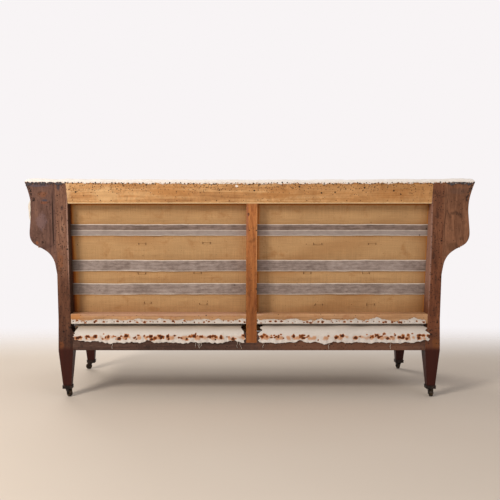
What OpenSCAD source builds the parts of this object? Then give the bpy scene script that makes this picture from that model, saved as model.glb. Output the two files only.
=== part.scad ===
// Wingback sofa on casters, stripped to its frame, webbing, hessian and calico.
// The sitter looks along -Y, the back is at +Y and "left" is the sitter's left, at +X.
// The origin is on the floor, at the middle of the sofa's overall box.

/* [Overall] */
// Height of the wooden back frame
top_z = 941; // [820:1:1080]
// Width across the outer faces of the rear posts
post_span = 1674; // [1400:1:2100]
// Depth of the seat frame, from front rail face to rear post face
frame_depth = 650; // [600:1:760]
// Height at which the rear posts begin to lean
knee_z = 340; // [330:1:360]
// Lean of the back's rear face, in degrees
rake = 7.5; // [4:0.5:11]

/* [Seat frame] */
// Height of the lower edge of the seat rails
rail_z = 205; // [170:1:240]
// Height of a seat rail
rail_h = 78; // [70:1:84]
// Thickness of a seat rail
rail_t = 40; // [32:1:46]
// Depth of a front leg at the rails
front_block_d = 60; // [54:1:70]
// Height of a corner block
corner_h = 36; // [24:1:50]
// Length of a corner block along each rail
corner_l = 62; // [40:1:90]
// Length of a tenon
tenon_l = 26; // [16:1:28]
// Thickness of a tenon
tenon_t = 12; // [8:1:14]

/* [Rear posts and legs] */
// Width of a rear post above the seat
post_w = 54; // [48:1:58]
// Width of the leg block at the seat rails
block_w = 64; // [60:1:70]
// Depth of a rear post at its top
post_d_top = 42; // [36:1:56]
// Depth of a rear post at the seat
post_d_seat = 75; // [70:1:84]
// Height of the shoulder between post and leg block
shoulder_h = 20; // [8:1:30]
// Width and depth of a leg where the caster cup grips it
foot_w = 36; // [30:1:42]
// Set-in of a foot from the outer face of its block
foot_set = 19; // [10:1:24]
// Set-in of a foot from the front or rear face of its block
foot_set_y = 8; // [2:1:14]

/* [Ear blocks] */
// Width of an ear block at its top
ear_w = 129; // [100:1:150]
// Height of an ear block
ear_h = 401; // [340:1:430]

/* [Back rails] */
// Height of the top rail
top_rail_h = 93; // [70:1:120]
// Lap of the top rail over the left post, at its top corner
lap_left = 8; // [2:1:14]
// Lap of the top rail over the right post, at its top corner
lap_right = 4; // [2:1:14]
// Width of the centre upright
upright_w = 46; // [36:1:60]
// Place of the centre upright's middle across the sofa
upright_x = -10; // [-30:1:30]
// Depth of the notch in the back seat rail for the upright
upright_let = 22; // [14:1:26]
// Length of the upright that lies in that notch
upright_foot = 45; // [30:1:60]
// Height of the gap between back seat rail and lower rails
tuck_gap = 39; // [34:1:46]
// Height of a lower back rail
lower_rail_h = 43; // [34:1:52]

/* [Arms] */
// Height of an arm rail's upper face
arm_z = 687; // [650:1:720]
// Overhang of the arm scroll beyond the post's outer face
scroll_w = 100; // [90:1:110]
// Height of the arm scroll, from its tail to its top
scroll_h = 195; // [170:1:220]
// Thickness of an arm stump board
stump_t = 45; // [34:1:50]
// Width of an arm rail
arm_rail_w = 80; // [70:1:84]
// Thickness of an arm rail
arm_rail_t = 32; // [24:1:40]
// Set-in of the arm rail from the scroll's outermost line
arm_rail_set = 7; // [5:1:12]
// Height of a side stay rail
stay_h = 30; // [24:1:40]

/* [Wings] */
// Run of the wing's curved edge, from the back to the arm
wing_run = 330; // [280:1:380]
// Thickness of a wing rail board
wing_rail_t = 36; // [28:1:40]
// Width of a wing rail board, measured straight down
wing_rail_d = 62; // [50:1:75]
// Outward tilt of the wings, in degrees
wing_tilt = 4; // [2:0.5:5]
// Width of a wing post
wing_post_w = 42; // [32:1:52]

/* [Webbing and hessian] */
// Width of a webbing strip
web_w = 51; // [44:1:58]
// Thickness of a webbing strip
web_t = 1.5; // [1:0.1:2]
// Thickness of hessian
hessian_t = 1.2; // [0.8:0.1:2]
// Height of the lowest back web's middle
web_low_z = 470; // [440:1:500]
// Height of the middle back web's middle
web_mid_z = 575; // [550:1:600]
// Height of the upper back web's middle
web_high_z = 733; // [690:1:770]
// Spacing of the seat webs that run along the sofa
long_web_pitch = 78; // [70:1:82]
// Spacing of the seat webs that run front to back
cross_web_pitch = 140; // [120:1:150]
// Thickness of calico
calico_t = 1.5; // [1:0.1:2]

/* [Springs] */
// Height of the sprung platform above the floor
spring_top_z = 330; // [310:1:345]
// Radius of a spring at its ends
spring_r = 46; // [36:1:52]
// Radius of a spring at its waist
waist_r = 27; // [20:1:32]
// Thickness of the spring wire
wire_d = 3.8; // [3:0.1:5]

/* [Pads] */
// Height of the seat's crown above the sprung platform
seat_crown = 92; // [70:1:120]
// Overhang of the seat's front roll beyond the front rail
seat_nose = 20; // [12:1:30]
// Thickness of the inside back pad at its crown
back_pad_t = 78; // [55:1:95]
// Thickness of an inside arm pad
arm_pad_t = 31; // [22:1:36]
// Thickness of the stuffing over an arm rail
arm_roll_t = 24; // [16:1:30]
// Thickness of an inside wing pad
wing_pad_t = 34; // [24:1:40]
// Thickness of the roll along a wing's edge
wing_roll_t = 13; // [9:1:18]
// Height of the roll along the top of the back
top_roll_h = 15; // [10:1:22]
// Height of the calico strip on a lower back rail
strip_h = 19; // [12:1:26]
// Drop of the seat's calico down the outside of a seat rail
calico_drop = 47; // [30:1:58]

/* [Casters] */
// Diameter of a wheel
wheel_d = 31; // [26:1:36]
// Width of a wheel
wheel_w = 14; // [10:1:18]
// Trail of a wheel behind its swivel
trail = 12; // [9:1:13]
// Radius of the wheel's pin
pin_r = 2.5; // [2:0.1:3.2]
// Radius of the swivel spindle
spindle_r = 4; // [3:0.1:5]
// Radius of the spindle's riveted head
head_r = 6; // [5.5:0.1:7]
// Thickness of the horn's plate
horn_t = 3; // [2:0.1:4]
// Thickness of a horn cheek
cheek_t = 2.5; // [2:0.1:3.5]
// Radius of the horn's plate
plate_r = 13; // [11:0.5:15]
// Thickness of the cup's floor
cup_t = 4; // [3:0.1:6]
// Wall of the cup
cup_wall = 3; // [2:0.1:4]
// Height of the cup's wall above its floor
cup_h = 10; // [7:0.5:16]
// Height of the lip round the cup's rim
lip_h = 2; // [1:0.1:3]
// Projection of that lip
lip_w = 1; // [0.5:0.1:2]

// Turn of the rear left caster, in degrees
turn_rear_left = 135; // [-180:5:180]
// Turn of the rear right caster, in degrees
turn_rear_right = 90; // [-180:5:180]
// Turn of the front left caster, in degrees
turn_front_left = 0; // [-180:5:180]
// Turn of the front right caster, in degrees
turn_front_right = -80; // [-180:5:180]

/* [Hidden] */
$fn = 48;
// Clearance between a soft piece and what carries it
gap = 0.3;
// Clearance of a tenon in its mortise
joint_gap = 0.1;
// Radial running clearance of a pin or spindle
run_gap = 0.06;
// Clearance between a wheel and the horn, and above a wheel
wheel_gap = 0.6;
// Vertical clearance of the swivel plates
swivel_gap = 0.3;
// Overrun of cutters
over = 5;
// Steps between two named points of a smooth outline
CURVE_STEPS = 4;

half_span = post_span / 2;
foot_z = wheel_d + wheel_gap + horn_t + swivel_gap + cup_t;
rail_top = rail_z + rail_h;
rake_run = (top_z - knee_z) * tan(rake);
total_depth = seat_nose + frame_depth + rake_run + calico_t;
rear_y = total_depth / 2 - rake_run - calico_t;
front_y = rear_y - frame_depth;
post_in = half_span - post_w;
block_in = half_span - block_w;
side_rail_in = half_span - rail_t;
lower_z = rail_top + tuck_gap;
lower_top = lower_z + lower_rail_h;
upright_lo = upright_x - upright_w / 2;
upright_hi = upright_x + upright_w / 2;
scroll_x = half_span + scroll_w;
arm_out = scroll_x - arm_rail_set;
arm_in = arm_out - arm_rail_w;
arm_top = arm_z + arm_roll_t;
stump_y = front_y + stump_t;
foot_y_front = front_y + foot_set_y + foot_w / 2;
foot_y_rear = rear_y - foot_set_y - foot_w / 2;
foot_x = half_span - foot_set - foot_w / 2;
seat_mid_y = (front_y + rear_y) / 2;
// The cloth on the back frame: webbing first, then hessian, then the pad
hessian_off = web_t + gap;
pad_off = hessian_off + hessian_t + gap;
back_cloth_x = side_rail_in - gap;
// The cloth on the sides: hessian on the rails' inner faces, then the pad
side_off = gap + hessian_t + gap;
arm_face_x = side_rail_in - side_off - arm_pad_t;

// Rear face of the back frame at height z
function rear_at(z) = rear_y + max(0, z - knee_z) * tan(rake);
// Depth of the back frame at height z
function depth_at(z) = post_d_seat
    + (post_d_top - post_d_seat) * max(0, z - knee_z) / (top_z - knee_z);
// Inner face of the back frame at height z
function inner_at(z) = rear_at(z) - depth_at(z);
function mix(a, b, t) = a + (b - a) * t;
// Catmull-Rom curve through the points of p
function spline_at(a, b, c, d, t) = 0.5 * (2 * b + (c - a) * t
    + (2 * a - 5 * b + 4 * c - d) * t * t + (3 * b - a - 3 * c + d) * t * t * t);
function smooth(p) = let (n = len(p) - 1) concat(
    [for (i = [0 : n - 1], s = [0 : CURVE_STEPS - 1])
        spline_at(p[max(0, i - 1)], p[i], p[i + 1], p[min(n, i + 2)], s / CURVE_STEPS)],
    [p[n]]);

// Extrudes an outline of [y, z] points along X
module along_x(x0, x1) {
    translate([x0, 0, 0])
        rotate([90, 0, 90])
            linear_extrude(x1 - x0) children();
}

// Extrudes an outline of [x, z] points along Y
module along_y(y0, y1) {
    translate([0, y1, 0])
        rotate([90, 0, 0])
            linear_extrude(y1 - y0) children();
}

module block(lo, hi) {
    translate(lo) cube(hi - lo);
}

module on_side(side) {
    if (side > 0) children();
    else mirror([1, 0, 0]) children();
}

// Closed solid through rings of points. Each ring runs down one chain and back up the other,
// so that its cap is a strip between the two chains.
module loft(rings) {
    n = len(rings[0]);
    last = (len(rings) - 1) * n;
    points = [for (ring = rings, p = ring) p];
    sides = [for (r = [0 : len(rings) - 2], i = [0 : n - 1])
        let (a = r * n + i, b = r * n + (i + 1) % n)
        each [[a, b, b + n], [a, b + n, a + n]]];
    caps = [for (i = [0 : n / 2 - 2])
        let (a = i, b = i + 1, c = n - 2 - i, d = n - 1 - i)
        each [[a, d, c], [a, c, b], [last + a, last + c, last + d], [last + a, last + b, last + c]]];
    polyhedron(points, concat(sides, caps), convexity = 6);
}

// Side view of the back frame, from the feet to the top
module back_profile(grow = 0) {
    polygon([
        [rear_y - foot_set_y, foot_z],
        [rear_y - foot_set_y, foot_z + cup_h],
        [rear_y + grow, rail_z],
        [rear_y + grow, knee_z],
        [rear_at(top_z) + grow, top_z],
        [inner_at(top_z), top_z],
        [inner_at(knee_z), knee_z],
        [inner_at(knee_z), rail_z],
        [rear_y - foot_set_y - foot_w, foot_z + cup_h],
        [rear_y - foot_set_y - foot_w, foot_z]]);
}

// Everything behind the back frame's inner face, a distance off in front of it
module behind_back(off) {
    far = frame_depth;
    along_x(-post_span, post_span)
        polygon([
            [inner_at(0) - off, 0],
            [far, 0],
            [far, top_z + far],
            [inner_at(top_z + far) - off, top_z + far],
            [inner_at(knee_z) - off, knee_z]]);
}

// Tenons, which the rails carry and the posts and legs are cut for
tenon_lo = rail_z + tenon_t;
tenon_hi = rail_top - tenon_l - tenon_t / 2;

module rail_tenon_x(y, grow = 0) {
    block([block_in - over, y - tenon_t / 2 - grow, tenon_lo - grow],
        [block_in + tenon_l + grow, y + tenon_t / 2 + grow, tenon_hi + grow]);
}

module rail_tenon_y(face, dir, grow = 0) {
    x = side_rail_in + rail_t / 2;
    far = face + dir * (tenon_l + grow);
    near = face - dir * over;
    block([x - tenon_t / 2 - grow, min(near, far), tenon_lo - grow],
        [x + tenon_t / 2 + grow, max(near, far), tenon_hi + grow]);
}

module top_tenon(grow = 0) {
    y = rear_at(top_z) - post_d_top / 2;
    z = top_z - top_rail_h / 2;
    block([post_in - over, y - tenon_t - grow, z - tenon_l - grow],
        [post_in + tenon_l + grow, y + grow, z + grow]);
}

module stump_tenon(grow = 0) {
    x = half_span - post_w / 2;
    y = front_y + stump_t / 2;
    block([x - tenon_l / 2 - grow, y - tenon_t / 2 - grow, rail_top - tenon_l - grow],
        [x + tenon_l / 2 + grow, y + tenon_t / 2 + grow, rail_top + over]);
}

// Back view of the left post: leg, block, shoulder and post
module post_outline() {
    polygon([
        [foot_x - foot_w / 2, foot_z],
        [foot_x + foot_w / 2, foot_z],
        [foot_x + foot_w / 2, foot_z + cup_h],
        [half_span, rail_z],
        [half_span, top_z],
        [post_in, top_z],
        [post_in, rail_top + shoulder_h],
        [block_in, rail_top],
        [block_in, rail_z],
        [foot_x - foot_w / 2, foot_z + cup_h]]);
}

// Slanted end of the top rail, lapped over the post
module lap_outline(lap) {
    polygon([
        [post_in - over, top_z - top_rail_h],
        [post_in, top_z - top_rail_h],
        [post_in + lap, top_z],
        [post_in - over, top_z]]);
}

// Pocket in a foot for the head of the caster's spindle
module head_pocket(x, y) {
    translate([x, y, foot_z - over])
        cylinder(r = head_r + wheel_gap, h = over + horn_t + 2 * swivel_gap + wheel_gap);
}

module rear_post(lap) {
    color("saddlebrown")
        difference() {
            intersection() {
                along_x(block_in, half_span) back_profile();
                along_y(rear_y - frame_depth, rear_y + frame_depth) post_outline();
            }
            along_y(rear_y - frame_depth, rear_y + frame_depth) lap_outline(lap);
            rail_tenon_x(rear_y - rail_t / 2, joint_gap);
            rail_tenon_y(rear_y - post_d_seat, 1, joint_gap);
            top_tenon(joint_gap);
            head_pocket(foot_x, foot_y_rear);
        }
}

// Shares of the ear's width and height, from its tail to its top corner
ear_shares = [[0, 0], [0.03, 0.06], [0.08, 0.14], [0.2, 0.212], [0.395, 0.267], [0.72, 0.325],
    [0.85, 0.378], [0.888, 0.45], [0.845, 0.59], [0.814, 0.698], [0.83, 0.805],
    [0.907, 0.913], [1, 1]];

module ear_block() {
    color("sienna")
        intersection() {
            along_x(half_span, half_span + ear_w) back_profile();
            along_y(rear_y - frame_depth, rear_y + frame_depth)
                polygon(concat(
                    smooth([for (s = ear_shares)
                        [half_span + ear_w * s[0], top_z - ear_h + ear_h * s[1]]]),
                    [[half_span, top_z]]));
        }
}

module top_rail() {
    color("burlywood")
        union() {
            intersection() {
                along_x(-half_span, half_span) back_profile();
                along_y(rear_y - frame_depth, rear_y + frame_depth)
                    polygon([
                        [-post_in, top_z - top_rail_h],
                        [post_in, top_z - top_rail_h],
                        [post_in + lap_left, top_z],
                        [-post_in - lap_right, top_z]]);
            }
            for (side = [1, -1]) on_side(side) top_tenon();
        }
}

module centre_upright() {
    foot = rail_top - upright_foot;
    color("peru")
        union() {
            intersection() {
                along_x(upright_lo, upright_hi) back_profile();
                block([upright_lo, front_y, rail_top], [upright_hi, rear_at(top_z), top_z - top_rail_h]);
            }
            block([upright_lo, rear_y - upright_let, foot], [upright_hi, rear_y, rail_top + over]);
        }
}

module lower_back_rail(lo, hi) {
    color("wheat")
        intersection() {
            along_x(lo, hi) back_profile();
            block([lo, front_y, lower_z], [hi, rear_at(top_z), lower_top]);
        }
}

module seat_rail_back() {
    color("brown")
        difference() {
            union() {
                block([-block_in, rear_y - rail_t, rail_z], [block_in, rear_y, rail_top]);
                for (side = [1, -1]) on_side(side) rail_tenon_x(rear_y - rail_t / 2);
            }
            block([upright_lo, rear_y - upright_let, rail_top - upright_foot],
                [upright_hi, rear_y + over, rail_top + over]);
        }
}

module seat_rail_front() {
    color("brown") {
        block([-block_in, front_y, rail_z], [block_in, front_y + rail_t, rail_top]);
        for (side = [1, -1]) on_side(side) rail_tenon_x(front_y + rail_t / 2);
    }
}

module seat_rail_side() {
    near = front_y + front_block_d;
    far = rear_y - post_d_seat;
    color("brown") {
        block([side_rail_in, near, rail_z], [half_span, far, rail_top]);
        rail_tenon_y(near, -1);
        rail_tenon_y(far, 1);
    }
}

// Notched glue block in each corner of the seat frame
module corner_block(rail_face, leg_face, dir) {
    translate([0, 0, rail_z + tenon_t])
        linear_extrude(corner_h)
            polygon([
                [block_in - corner_l, rail_face],
                [block_in, rail_face],
                [block_in, leg_face],
                [side_rail_in, leg_face],
                [side_rail_in, leg_face + dir * corner_l]]);
}

module corner_blocks() {
    color("tan")
        for (side = [1, -1]) on_side(side) {
            corner_block(rear_y - rail_t, rear_y - post_d_seat, -1);
            corner_block(front_y + rail_t, front_y + front_block_d, 1);
        }
}

module front_leg() {
    foot_lo = front_y + foot_set_y;
    color("saddlebrown")
        difference() {
            intersection() {
                along_y(front_y, front_y + front_block_d)
                    polygon([
                        [foot_x - foot_w / 2, foot_z],
                        [foot_x + foot_w / 2, foot_z],
                        [foot_x + foot_w / 2, foot_z + cup_h],
                        [half_span, rail_z],
                        [half_span, rail_top],
                        [block_in, rail_top],
                        [block_in, rail_z],
                        [foot_x - foot_w / 2, foot_z + cup_h]]);
                along_x(block_in, half_span)
                    polygon([
                        [foot_lo, foot_z],
                        [foot_lo, foot_z + cup_h],
                        [front_y, rail_z],
                        [front_y, rail_top],
                        [front_y + front_block_d, rail_top],
                        [front_y + front_block_d, rail_z],
                        [foot_lo + foot_w, foot_z + cup_h],
                        [foot_lo + foot_w, foot_z]]);
            }
            rail_tenon_x(front_y + rail_t / 2, joint_gap);
            rail_tenon_y(front_y + front_block_d, -1, joint_gap);
            stump_tenon(joint_gap);
            head_pocket(foot_x, foot_y_front);
        }
}

// Shares of the scroll's overhang and height, from its tail over the top to the inner edge
scroll_shares = [[0, 0], [0.04, 0.11], [0.12, 0.24], [0.3, 0.37], [0.66, 0.5], [0.92, 0.63],
    [1, 0.77], [0.93, 0.9], [0.7, 0.98], [0.4, 1]];
scroll_in_shares = [[0, 0.985], [-0.3, 0.93], [-0.47, 0.82], [-0.54, 0.66]];

// The scroll's inner edge comes down to the post's inner line
function scroll_point(s) = [
    s[0] >= 0 ? half_span + scroll_w * s[0] : mix(half_span, post_in, s[0] / scroll_in_shares[3][0]),
    arm_top - scroll_h + scroll_h * s[1]];

module arm_stump() {
    color("saddlebrown")
        union() {
            along_y(front_y, stump_y)
                polygon(concat(
                    [[post_in, rail_top], [half_span, rail_top]],
                    smooth([for (s = concat(scroll_shares, scroll_in_shares)) scroll_point(s)])));
            stump_tenon();
        }
}

module arm_rail() {
    color("tan")
        difference() {
            along_y(stump_y, rear_at(arm_z))
                polygon([
                    [arm_in, arm_z - arm_rail_t],
                    [arm_out, arm_z - arm_rail_t],
                    [arm_out, arm_z],
                    [arm_in, arm_z]]);
            behind_back(0);
        }
}

module stay_rail() {
    color("tan")
        difference() {
            block([side_rail_in, stump_y, lower_z], [half_span, rear_y, lower_z + stay_h]);
            behind_back(0);
        }
}

// Curved edge of the wing, as a height over depth, falling from the back to the arm
wing_y0 = inner_at(top_z);
WING_STEPS = 12;
// Share of the run at which the wing board ends in a blunt nose
wing_nose_share = 0.85;
function wing_y(i) = wing_y0 - wing_run * i / WING_STEPS;
function wing_height(y) = arm_z + (top_z - arm_z) * (0.5 + 0.5 * cos(180 * (wing_y0 - y) / wing_run));
wing_in = arm_out - wing_rail_t;
wing_nose_y = wing_y0 - wing_run * wing_nose_share;

// The wing stands on the arm rail's outer edge and tilts outward there
module tilted() {
    translate([wing_in, 0, arm_z])
        rotate([0, wing_tilt, 0])
            translate([-wing_in, 0, -arm_z]) children();
}

module above_arm() {
    block([half_span - post_w, front_y, arm_z],
        [half_span + frame_depth, rear_at(top_z) + frame_depth, top_z + frame_depth]);
}

// Board outline under the wing's curve, from drop lo to drop hi below it
module wing_outline(lo, hi) {
    polygon(concat(
        [[wing_y0 + over, top_z - lo]],
        [for (i = [0 : WING_STEPS]) [wing_y(i), wing_height(wing_y(i)) - lo]],
        [for (i = [WING_STEPS : -1 : 0]) [wing_y(i), wing_height(wing_y(i)) - hi]],
        [[wing_y0 + over, top_z - hi]]));
}

module wing_rail() {
    color("tan")
        intersection() {
            difference() {
                tilted() along_x(wing_in, arm_out) wing_outline(0, wing_rail_d);
                behind_back(0);
            }
            above_arm();
            block([half_span, wing_nose_y, arm_z], [half_span + frame_depth, rear_at(top_z), top_z]);
        }
}

module wing_post() {
    y = wing_y0 - wing_run / 2 + wing_post_w / 2;
    color("tan")
        intersection() {
            tilted()
                along_x(wing_in, arm_out)
                    intersection() {
                        wing_outline(wing_rail_d, top_z);
                        translate([y, arm_z - over]) square([wing_post_w, top_z]);
                    }
            above_arm();
        }
}

// Back webs, tacked to the inner faces of the posts and upright
module inner_sheet(x0, x1, z0, z1, off, t) {
    along_x(x0, x1)
        polygon([
            [inner_at(z0) - off, z0],
            [inner_at(z1) - off, z1],
            [inner_at(z1) - off - t, z1],
            [inner_at(z0) - off - t, z0]]);
}

module back_webbing() {
    color("slategray")
        for (z = [web_low_z, web_mid_z, web_high_z])
            inner_sheet(-back_cloth_x, back_cloth_x, z - web_w / 2, z + web_w / 2, 0, web_t);
}

module back_hessian() {
    color("goldenrod")
        inner_sheet(-back_cloth_x, back_cloth_x, knee_z, top_z - over, hessian_off, hessian_t);
}

// Seat webs, laced over and under one another below the rails
LONG_WEBS = 6;
CROSS_WEBS = 11;
web_mid = rail_z - gap - web_t - gap / 2;
lace = (web_t + gap) / 2;
function long_web_y(j) = seat_mid_y + (j - (LONG_WEBS - 1) / 2) * long_web_pitch;
function cross_web_x(i) = (i - (CROSS_WEBS - 1) / 2) * cross_web_pitch;
function parity(i, j) = (i + j) % 2 == 0 ? 1 : -1;

// Line of one web: flat over each crossing, with the ends up against the rails
function laced_line(places, end, first, sign) = concat(
    [[-end, lace]],
    [for (k = [0 : len(places) - 1]) let (s = sign * parity(k, first))
        each [[places[k] - web_w / 2 - web_t, s * lace], [places[k] + web_w / 2 + web_t, s * lace]]],
    [[end, lace]]);

module laced_web(line) {
    linear_extrude(web_w, center = true)
        polygon(concat(
            [for (p = line) [p[0], p[1] + web_t / 2]],
            [for (k = [len(line) - 1 : -1 : 0]) [line[k][0], line[k][1] - web_t / 2]]));
}

module seat_webbing() {
    xs = [for (i = [0 : CROSS_WEBS - 1]) cross_web_x(i)];
    ys = [for (j = [0 : LONG_WEBS - 1]) long_web_y(j) - seat_mid_y];
    color("slategray") {
        for (j = [0 : LONG_WEBS - 1])
            translate([0, long_web_y(j), web_mid])
                rotate([90, 0, 0])
                    laced_web(laced_line(xs, half_span - rail_t / 2, j, 1));
        for (i = [0 : CROSS_WEBS - 1])
            translate([cross_web_x(i), seat_mid_y, web_mid])
                rotate([90, 0, 90])
                    laced_web(laced_line(ys, frame_depth / 2 - rail_t / 2, i, -1));
    }
}

// Springs: waisted coils of round wire standing on the webs
SPRING_COLS = 5;
SPRING_TURNS = 3.5;
RINGS_PER_TURN = 8;
WIRE_SIDES = 6;
wire_r = wire_d / 2;
spring_z0 = rail_z + wire_r;
spring_z1 = spring_top_z - hessian_t - gap - wire_r;
SPRING_RINGS = SPRING_TURNS * RINGS_PER_TURN;
// How quickly the coil narrows to its waist
waist_power = 1.6;
function coil_r(t) = waist_r + (spring_r - waist_r) * pow(abs(2 * t - 1), waist_power);
function coil_point(k) = let (t = k / SPRING_RINGS, a = 360 * k / RINGS_PER_TURN)
    [coil_r(t) * cos(a), coil_r(t) * sin(a), mix(spring_z0, spring_z1, t)];
coil_gap = min([for (k = [0 : SPRING_RINGS], m = [k + RINGS_PER_TURN / 2 : SPRING_RINGS])
    norm(coil_point(k) - coil_point(m))]) - wire_d;
echo(least_gap_between_curls = coil_gap);

module spring() {
    rings = [for (k = [0 : SPRING_RINGS])
        let (a = 360 * k / RINGS_PER_TURN, c = coil_point(k))
        [for (m = [0 : WIRE_SIDES - 1])
            let (b = 360 * m / WIRE_SIDES)
            c + wire_r * [cos(b) * cos(a), cos(b) * sin(a), sin(b)]]];
    loft(rings);
}

module seat_springs() {
    color("silver")
        for (i = [0 : SPRING_COLS - 1], j = [0, 2, 4])
            translate([cross_web_x(CROSS_WEBS / 2 - SPRING_COLS + 2 * i + 0.5), long_web_y(j), 0])
                spring();
}

// Hessian over the springs: a flat platform with skirts down to the rails
skirt_front = front_y + rail_t;
skirt_rear = rear_y - rail_t;
plat_front = long_web_y(0) - spring_r - rail_t / 2;
plat_rear = long_web_y(4) + spring_r + rail_t / 2;
plat_x = cross_web_x(CROSS_WEBS - 2) + spring_r + rail_t / 2;

module spring_shape(drop) {
    hull() {
        translate([-side_rail_in - gap, skirt_front - gap, rail_top + gap - drop])
            cube([2 * side_rail_in + 2 * gap, skirt_rear - skirt_front + 2 * gap, hessian_t]);
        translate([-plat_x, plat_front, spring_top_z - hessian_t - drop])
            cube([2 * plat_x, plat_rear - plat_front, hessian_t]);
    }
}

module spring_hessian() {
    back = rear_y - post_d_seat - gap;
    color("goldenrod")
        difference() {
            spring_shape(0);
            spring_shape(hessian_t);
            block([upright_lo - gap, back, rail_top], [upright_hi + gap, rear_y, spring_top_z]);
            for (side = [1, -1]) on_side(side) {
                block([block_in - gap, back, rail_top], [half_span, rear_y, spring_top_z]);
                block([post_in - gap, front_y, rail_top], [half_span, stump_y + gap, spring_top_z]);
            }
        }
}

// Seat pad: stuffing under calico, drawn down over the front rail and under the back
SEAT_STATIONS = 8;
// Shares of the way from the platform's edge to the pad's end
seat_end_shares = [0.5, 0.85, 1];
seat_half = arm_face_x - 2 * gap;
seat_top = spring_top_z + seat_crown;
seat_floor = spring_top_z + 3 * gap;
seat_rear_y = rear_y - post_d_seat - pad_off;
// Shares of the seat's depth and crown along its upper face, front to back
seat_top_shares = [[0, 0.42], [0.012, 0.68], [0.05, 0.86], [0.13, 0.96], [0.27, 1], [0.45, 1],
    [0.62, 0.93], [0.76, 0.78], [0.87, 0.5]];
function end_round(u) = pow(1 - pow(abs(u), 8), 0.5);

function seat_ring(u) = let (
        x = u * seat_half,
        side = max(0, (abs(x) - plat_x) / (side_rail_in - plat_x)),
        skirt_z = rail_top + 4 * gap + hessian_t,
        floor_z = mix(seat_floor, skirt_z, side),
        tuck_y = min(mix(skirt_rear, plat_rear, 1 - side), seat_rear_y - gap),
        tuck_z = mix(skirt_z, seat_floor, (skirt_rear - tuck_y) / (skirt_rear - plat_rear)),
        crown = mix(0.55, 1, end_round(u)),
        nose = front_y - seat_nose * mix(0.6, 1, end_round(u)),
        upper = [for (s = seat_top_shares)
            [x, mix(nose, seat_rear_y, s[0]), seat_floor + seat_crown * s[1] * crown]],
        front = [[x, front_y - gap - calico_t, rail_top - calico_drop],
            [x, front_y - gap - calico_t, rail_top - calico_drop / 2],
            [x, mix(front_y, nose, 0.7), rail_top - calico_drop * 0.15]],
        rear = [[x, seat_rear_y, lower_z - 2 * gap]],
        lower = [[x, seat_rear_y, rail_top + hessian_t + (skirt_rear - seat_rear_y) * 0.5],
            [x, tuck_y, tuck_z],
            [x, mix(plat_rear, plat_front, 0.25), floor_z],
            [x, mix(plat_rear, plat_front, 0.5), floor_z],
            [x, mix(plat_rear, plat_front, 0.75), floor_z],
            [x, mix(plat_rear, plat_front, 0.9), floor_z],
            [x, mix(skirt_front, plat_front, 1 - side), floor_z],
            [x, skirt_front, rail_top + hessian_t + 3 * gap],
            [x, mix(front_y, skirt_front, 0.6), rail_top + gap],
            [x, mix(front_y, skirt_front, 0.3), rail_top + gap],
            [x, front_y - gap, rail_top + gap],
            [x, front_y - gap, rail_top - calico_drop / 2],
            [x, front_y - gap, rail_top - calico_drop]])
    concat(front, upper, rear, lower);

module seat_pad() {
    edge = plat_x / seat_half;
    ends = [for (s = seat_end_shares) mix(edge, 1, s)];
    color("ivory")
        loft([for (u = concat(
                [for (k = [len(ends) - 1 : -1 : 0]) -ends[k]],
                [for (k = [0 : SEAT_STATIONS]) mix(-edge, edge, k / SEAT_STATIONS)],
                ends))
            seat_ring(u)]);
}

// Calico of the seat where it comes out under the lower rails and is tacked to the seat rail
module seat_calico(lo, hi) {
    top = lower_z - 2 * gap;
    start = rear_y - post_d_seat;
    color("ivory")
        along_x(lo, hi)
            polygon([
                [start, top - calico_t],
                [start, top],
                [rear_y - rail_t / 2, mix(top, rail_top, 0.5) + calico_t],
                [rear_y + gap + calico_t, rail_top + calico_t],
                [rear_y + gap + calico_t, rail_top - calico_drop],
                [rear_y + gap, rail_top - calico_drop],
                [rear_y + gap, rail_top + gap],
                [rear_y - rail_t / 2, mix(top, rail_top, 0.5)]]);
}

// Calico of the inside back, drawn under a lower rail and tacked to its rear face
module rail_calico(lo, hi) {
    color("ivory")
        along_x(lo, hi)
            polygon([
                [rear_y - post_d_seat / 2, lower_z - gap],
                [rear_y + gap, lower_z - gap],
                [rear_y + gap, lower_z + strip_h],
                [rear_y + gap + calico_t, lower_z + strip_h],
                [rear_y + gap + calico_t, lower_z - gap - calico_t],
                [rear_y - post_d_seat / 2, lower_z - gap - calico_t]]);
}

// Inside back pad: its face crowns, its sides are drawn in and it widens above the arms
BACK_STATIONS = 16;
back_pad_z0 = lower_z + gap;
back_pad_z1 = top_z + top_roll_h * 2 / 3;
// Shares of the pad's height and thickness up its face
back_face_shares = [[0, 0.01], [0.028, 0.3], [0.06, 0.6], [0.11, 0.86], [0.2, 0.97], [0.33, 1],
    [0.46, 0.97], [0.58, 0.92], [0.7, 0.88], [0.82, 0.84], [0.92, 0.72], [0.975, 0.5], [1, 0.2]];
function back_thick(z) = back_pad_t
    * lookup((z - back_pad_z0) / (back_pad_z1 - back_pad_z0), back_face_shares);
// Rows at the heights of the arm pads' faces and halfway between some, and others above the arms
back_meet_z = arm_top + wing_pad_t;
back_above_shares = [0, 0.45, 0.75, 0.92, 1];
back_heights = concat(
    [for (k = [0 : len(arm_face()) - 1]) let (z = arm_face()[k][1])
        each k > 1 && k < 5 ? [mix(arm_face()[k - 1][1], z, 0.5), z] : [z]],
    [for (s = back_above_shares) mix(back_meet_z, back_pad_z1, s)]);
// Half of the pad's width above the arms, and at height z, where it meets the arm pads' faces
back_wide = wing_in - side_off - wing_pad_t - 2 * gap;
function back_half(z) = lookup(z, concat(
    [for (p = arm_face()) [p[1], p[0] - 2 * gap]],
    [[back_meet_z, back_wide]]));

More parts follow.
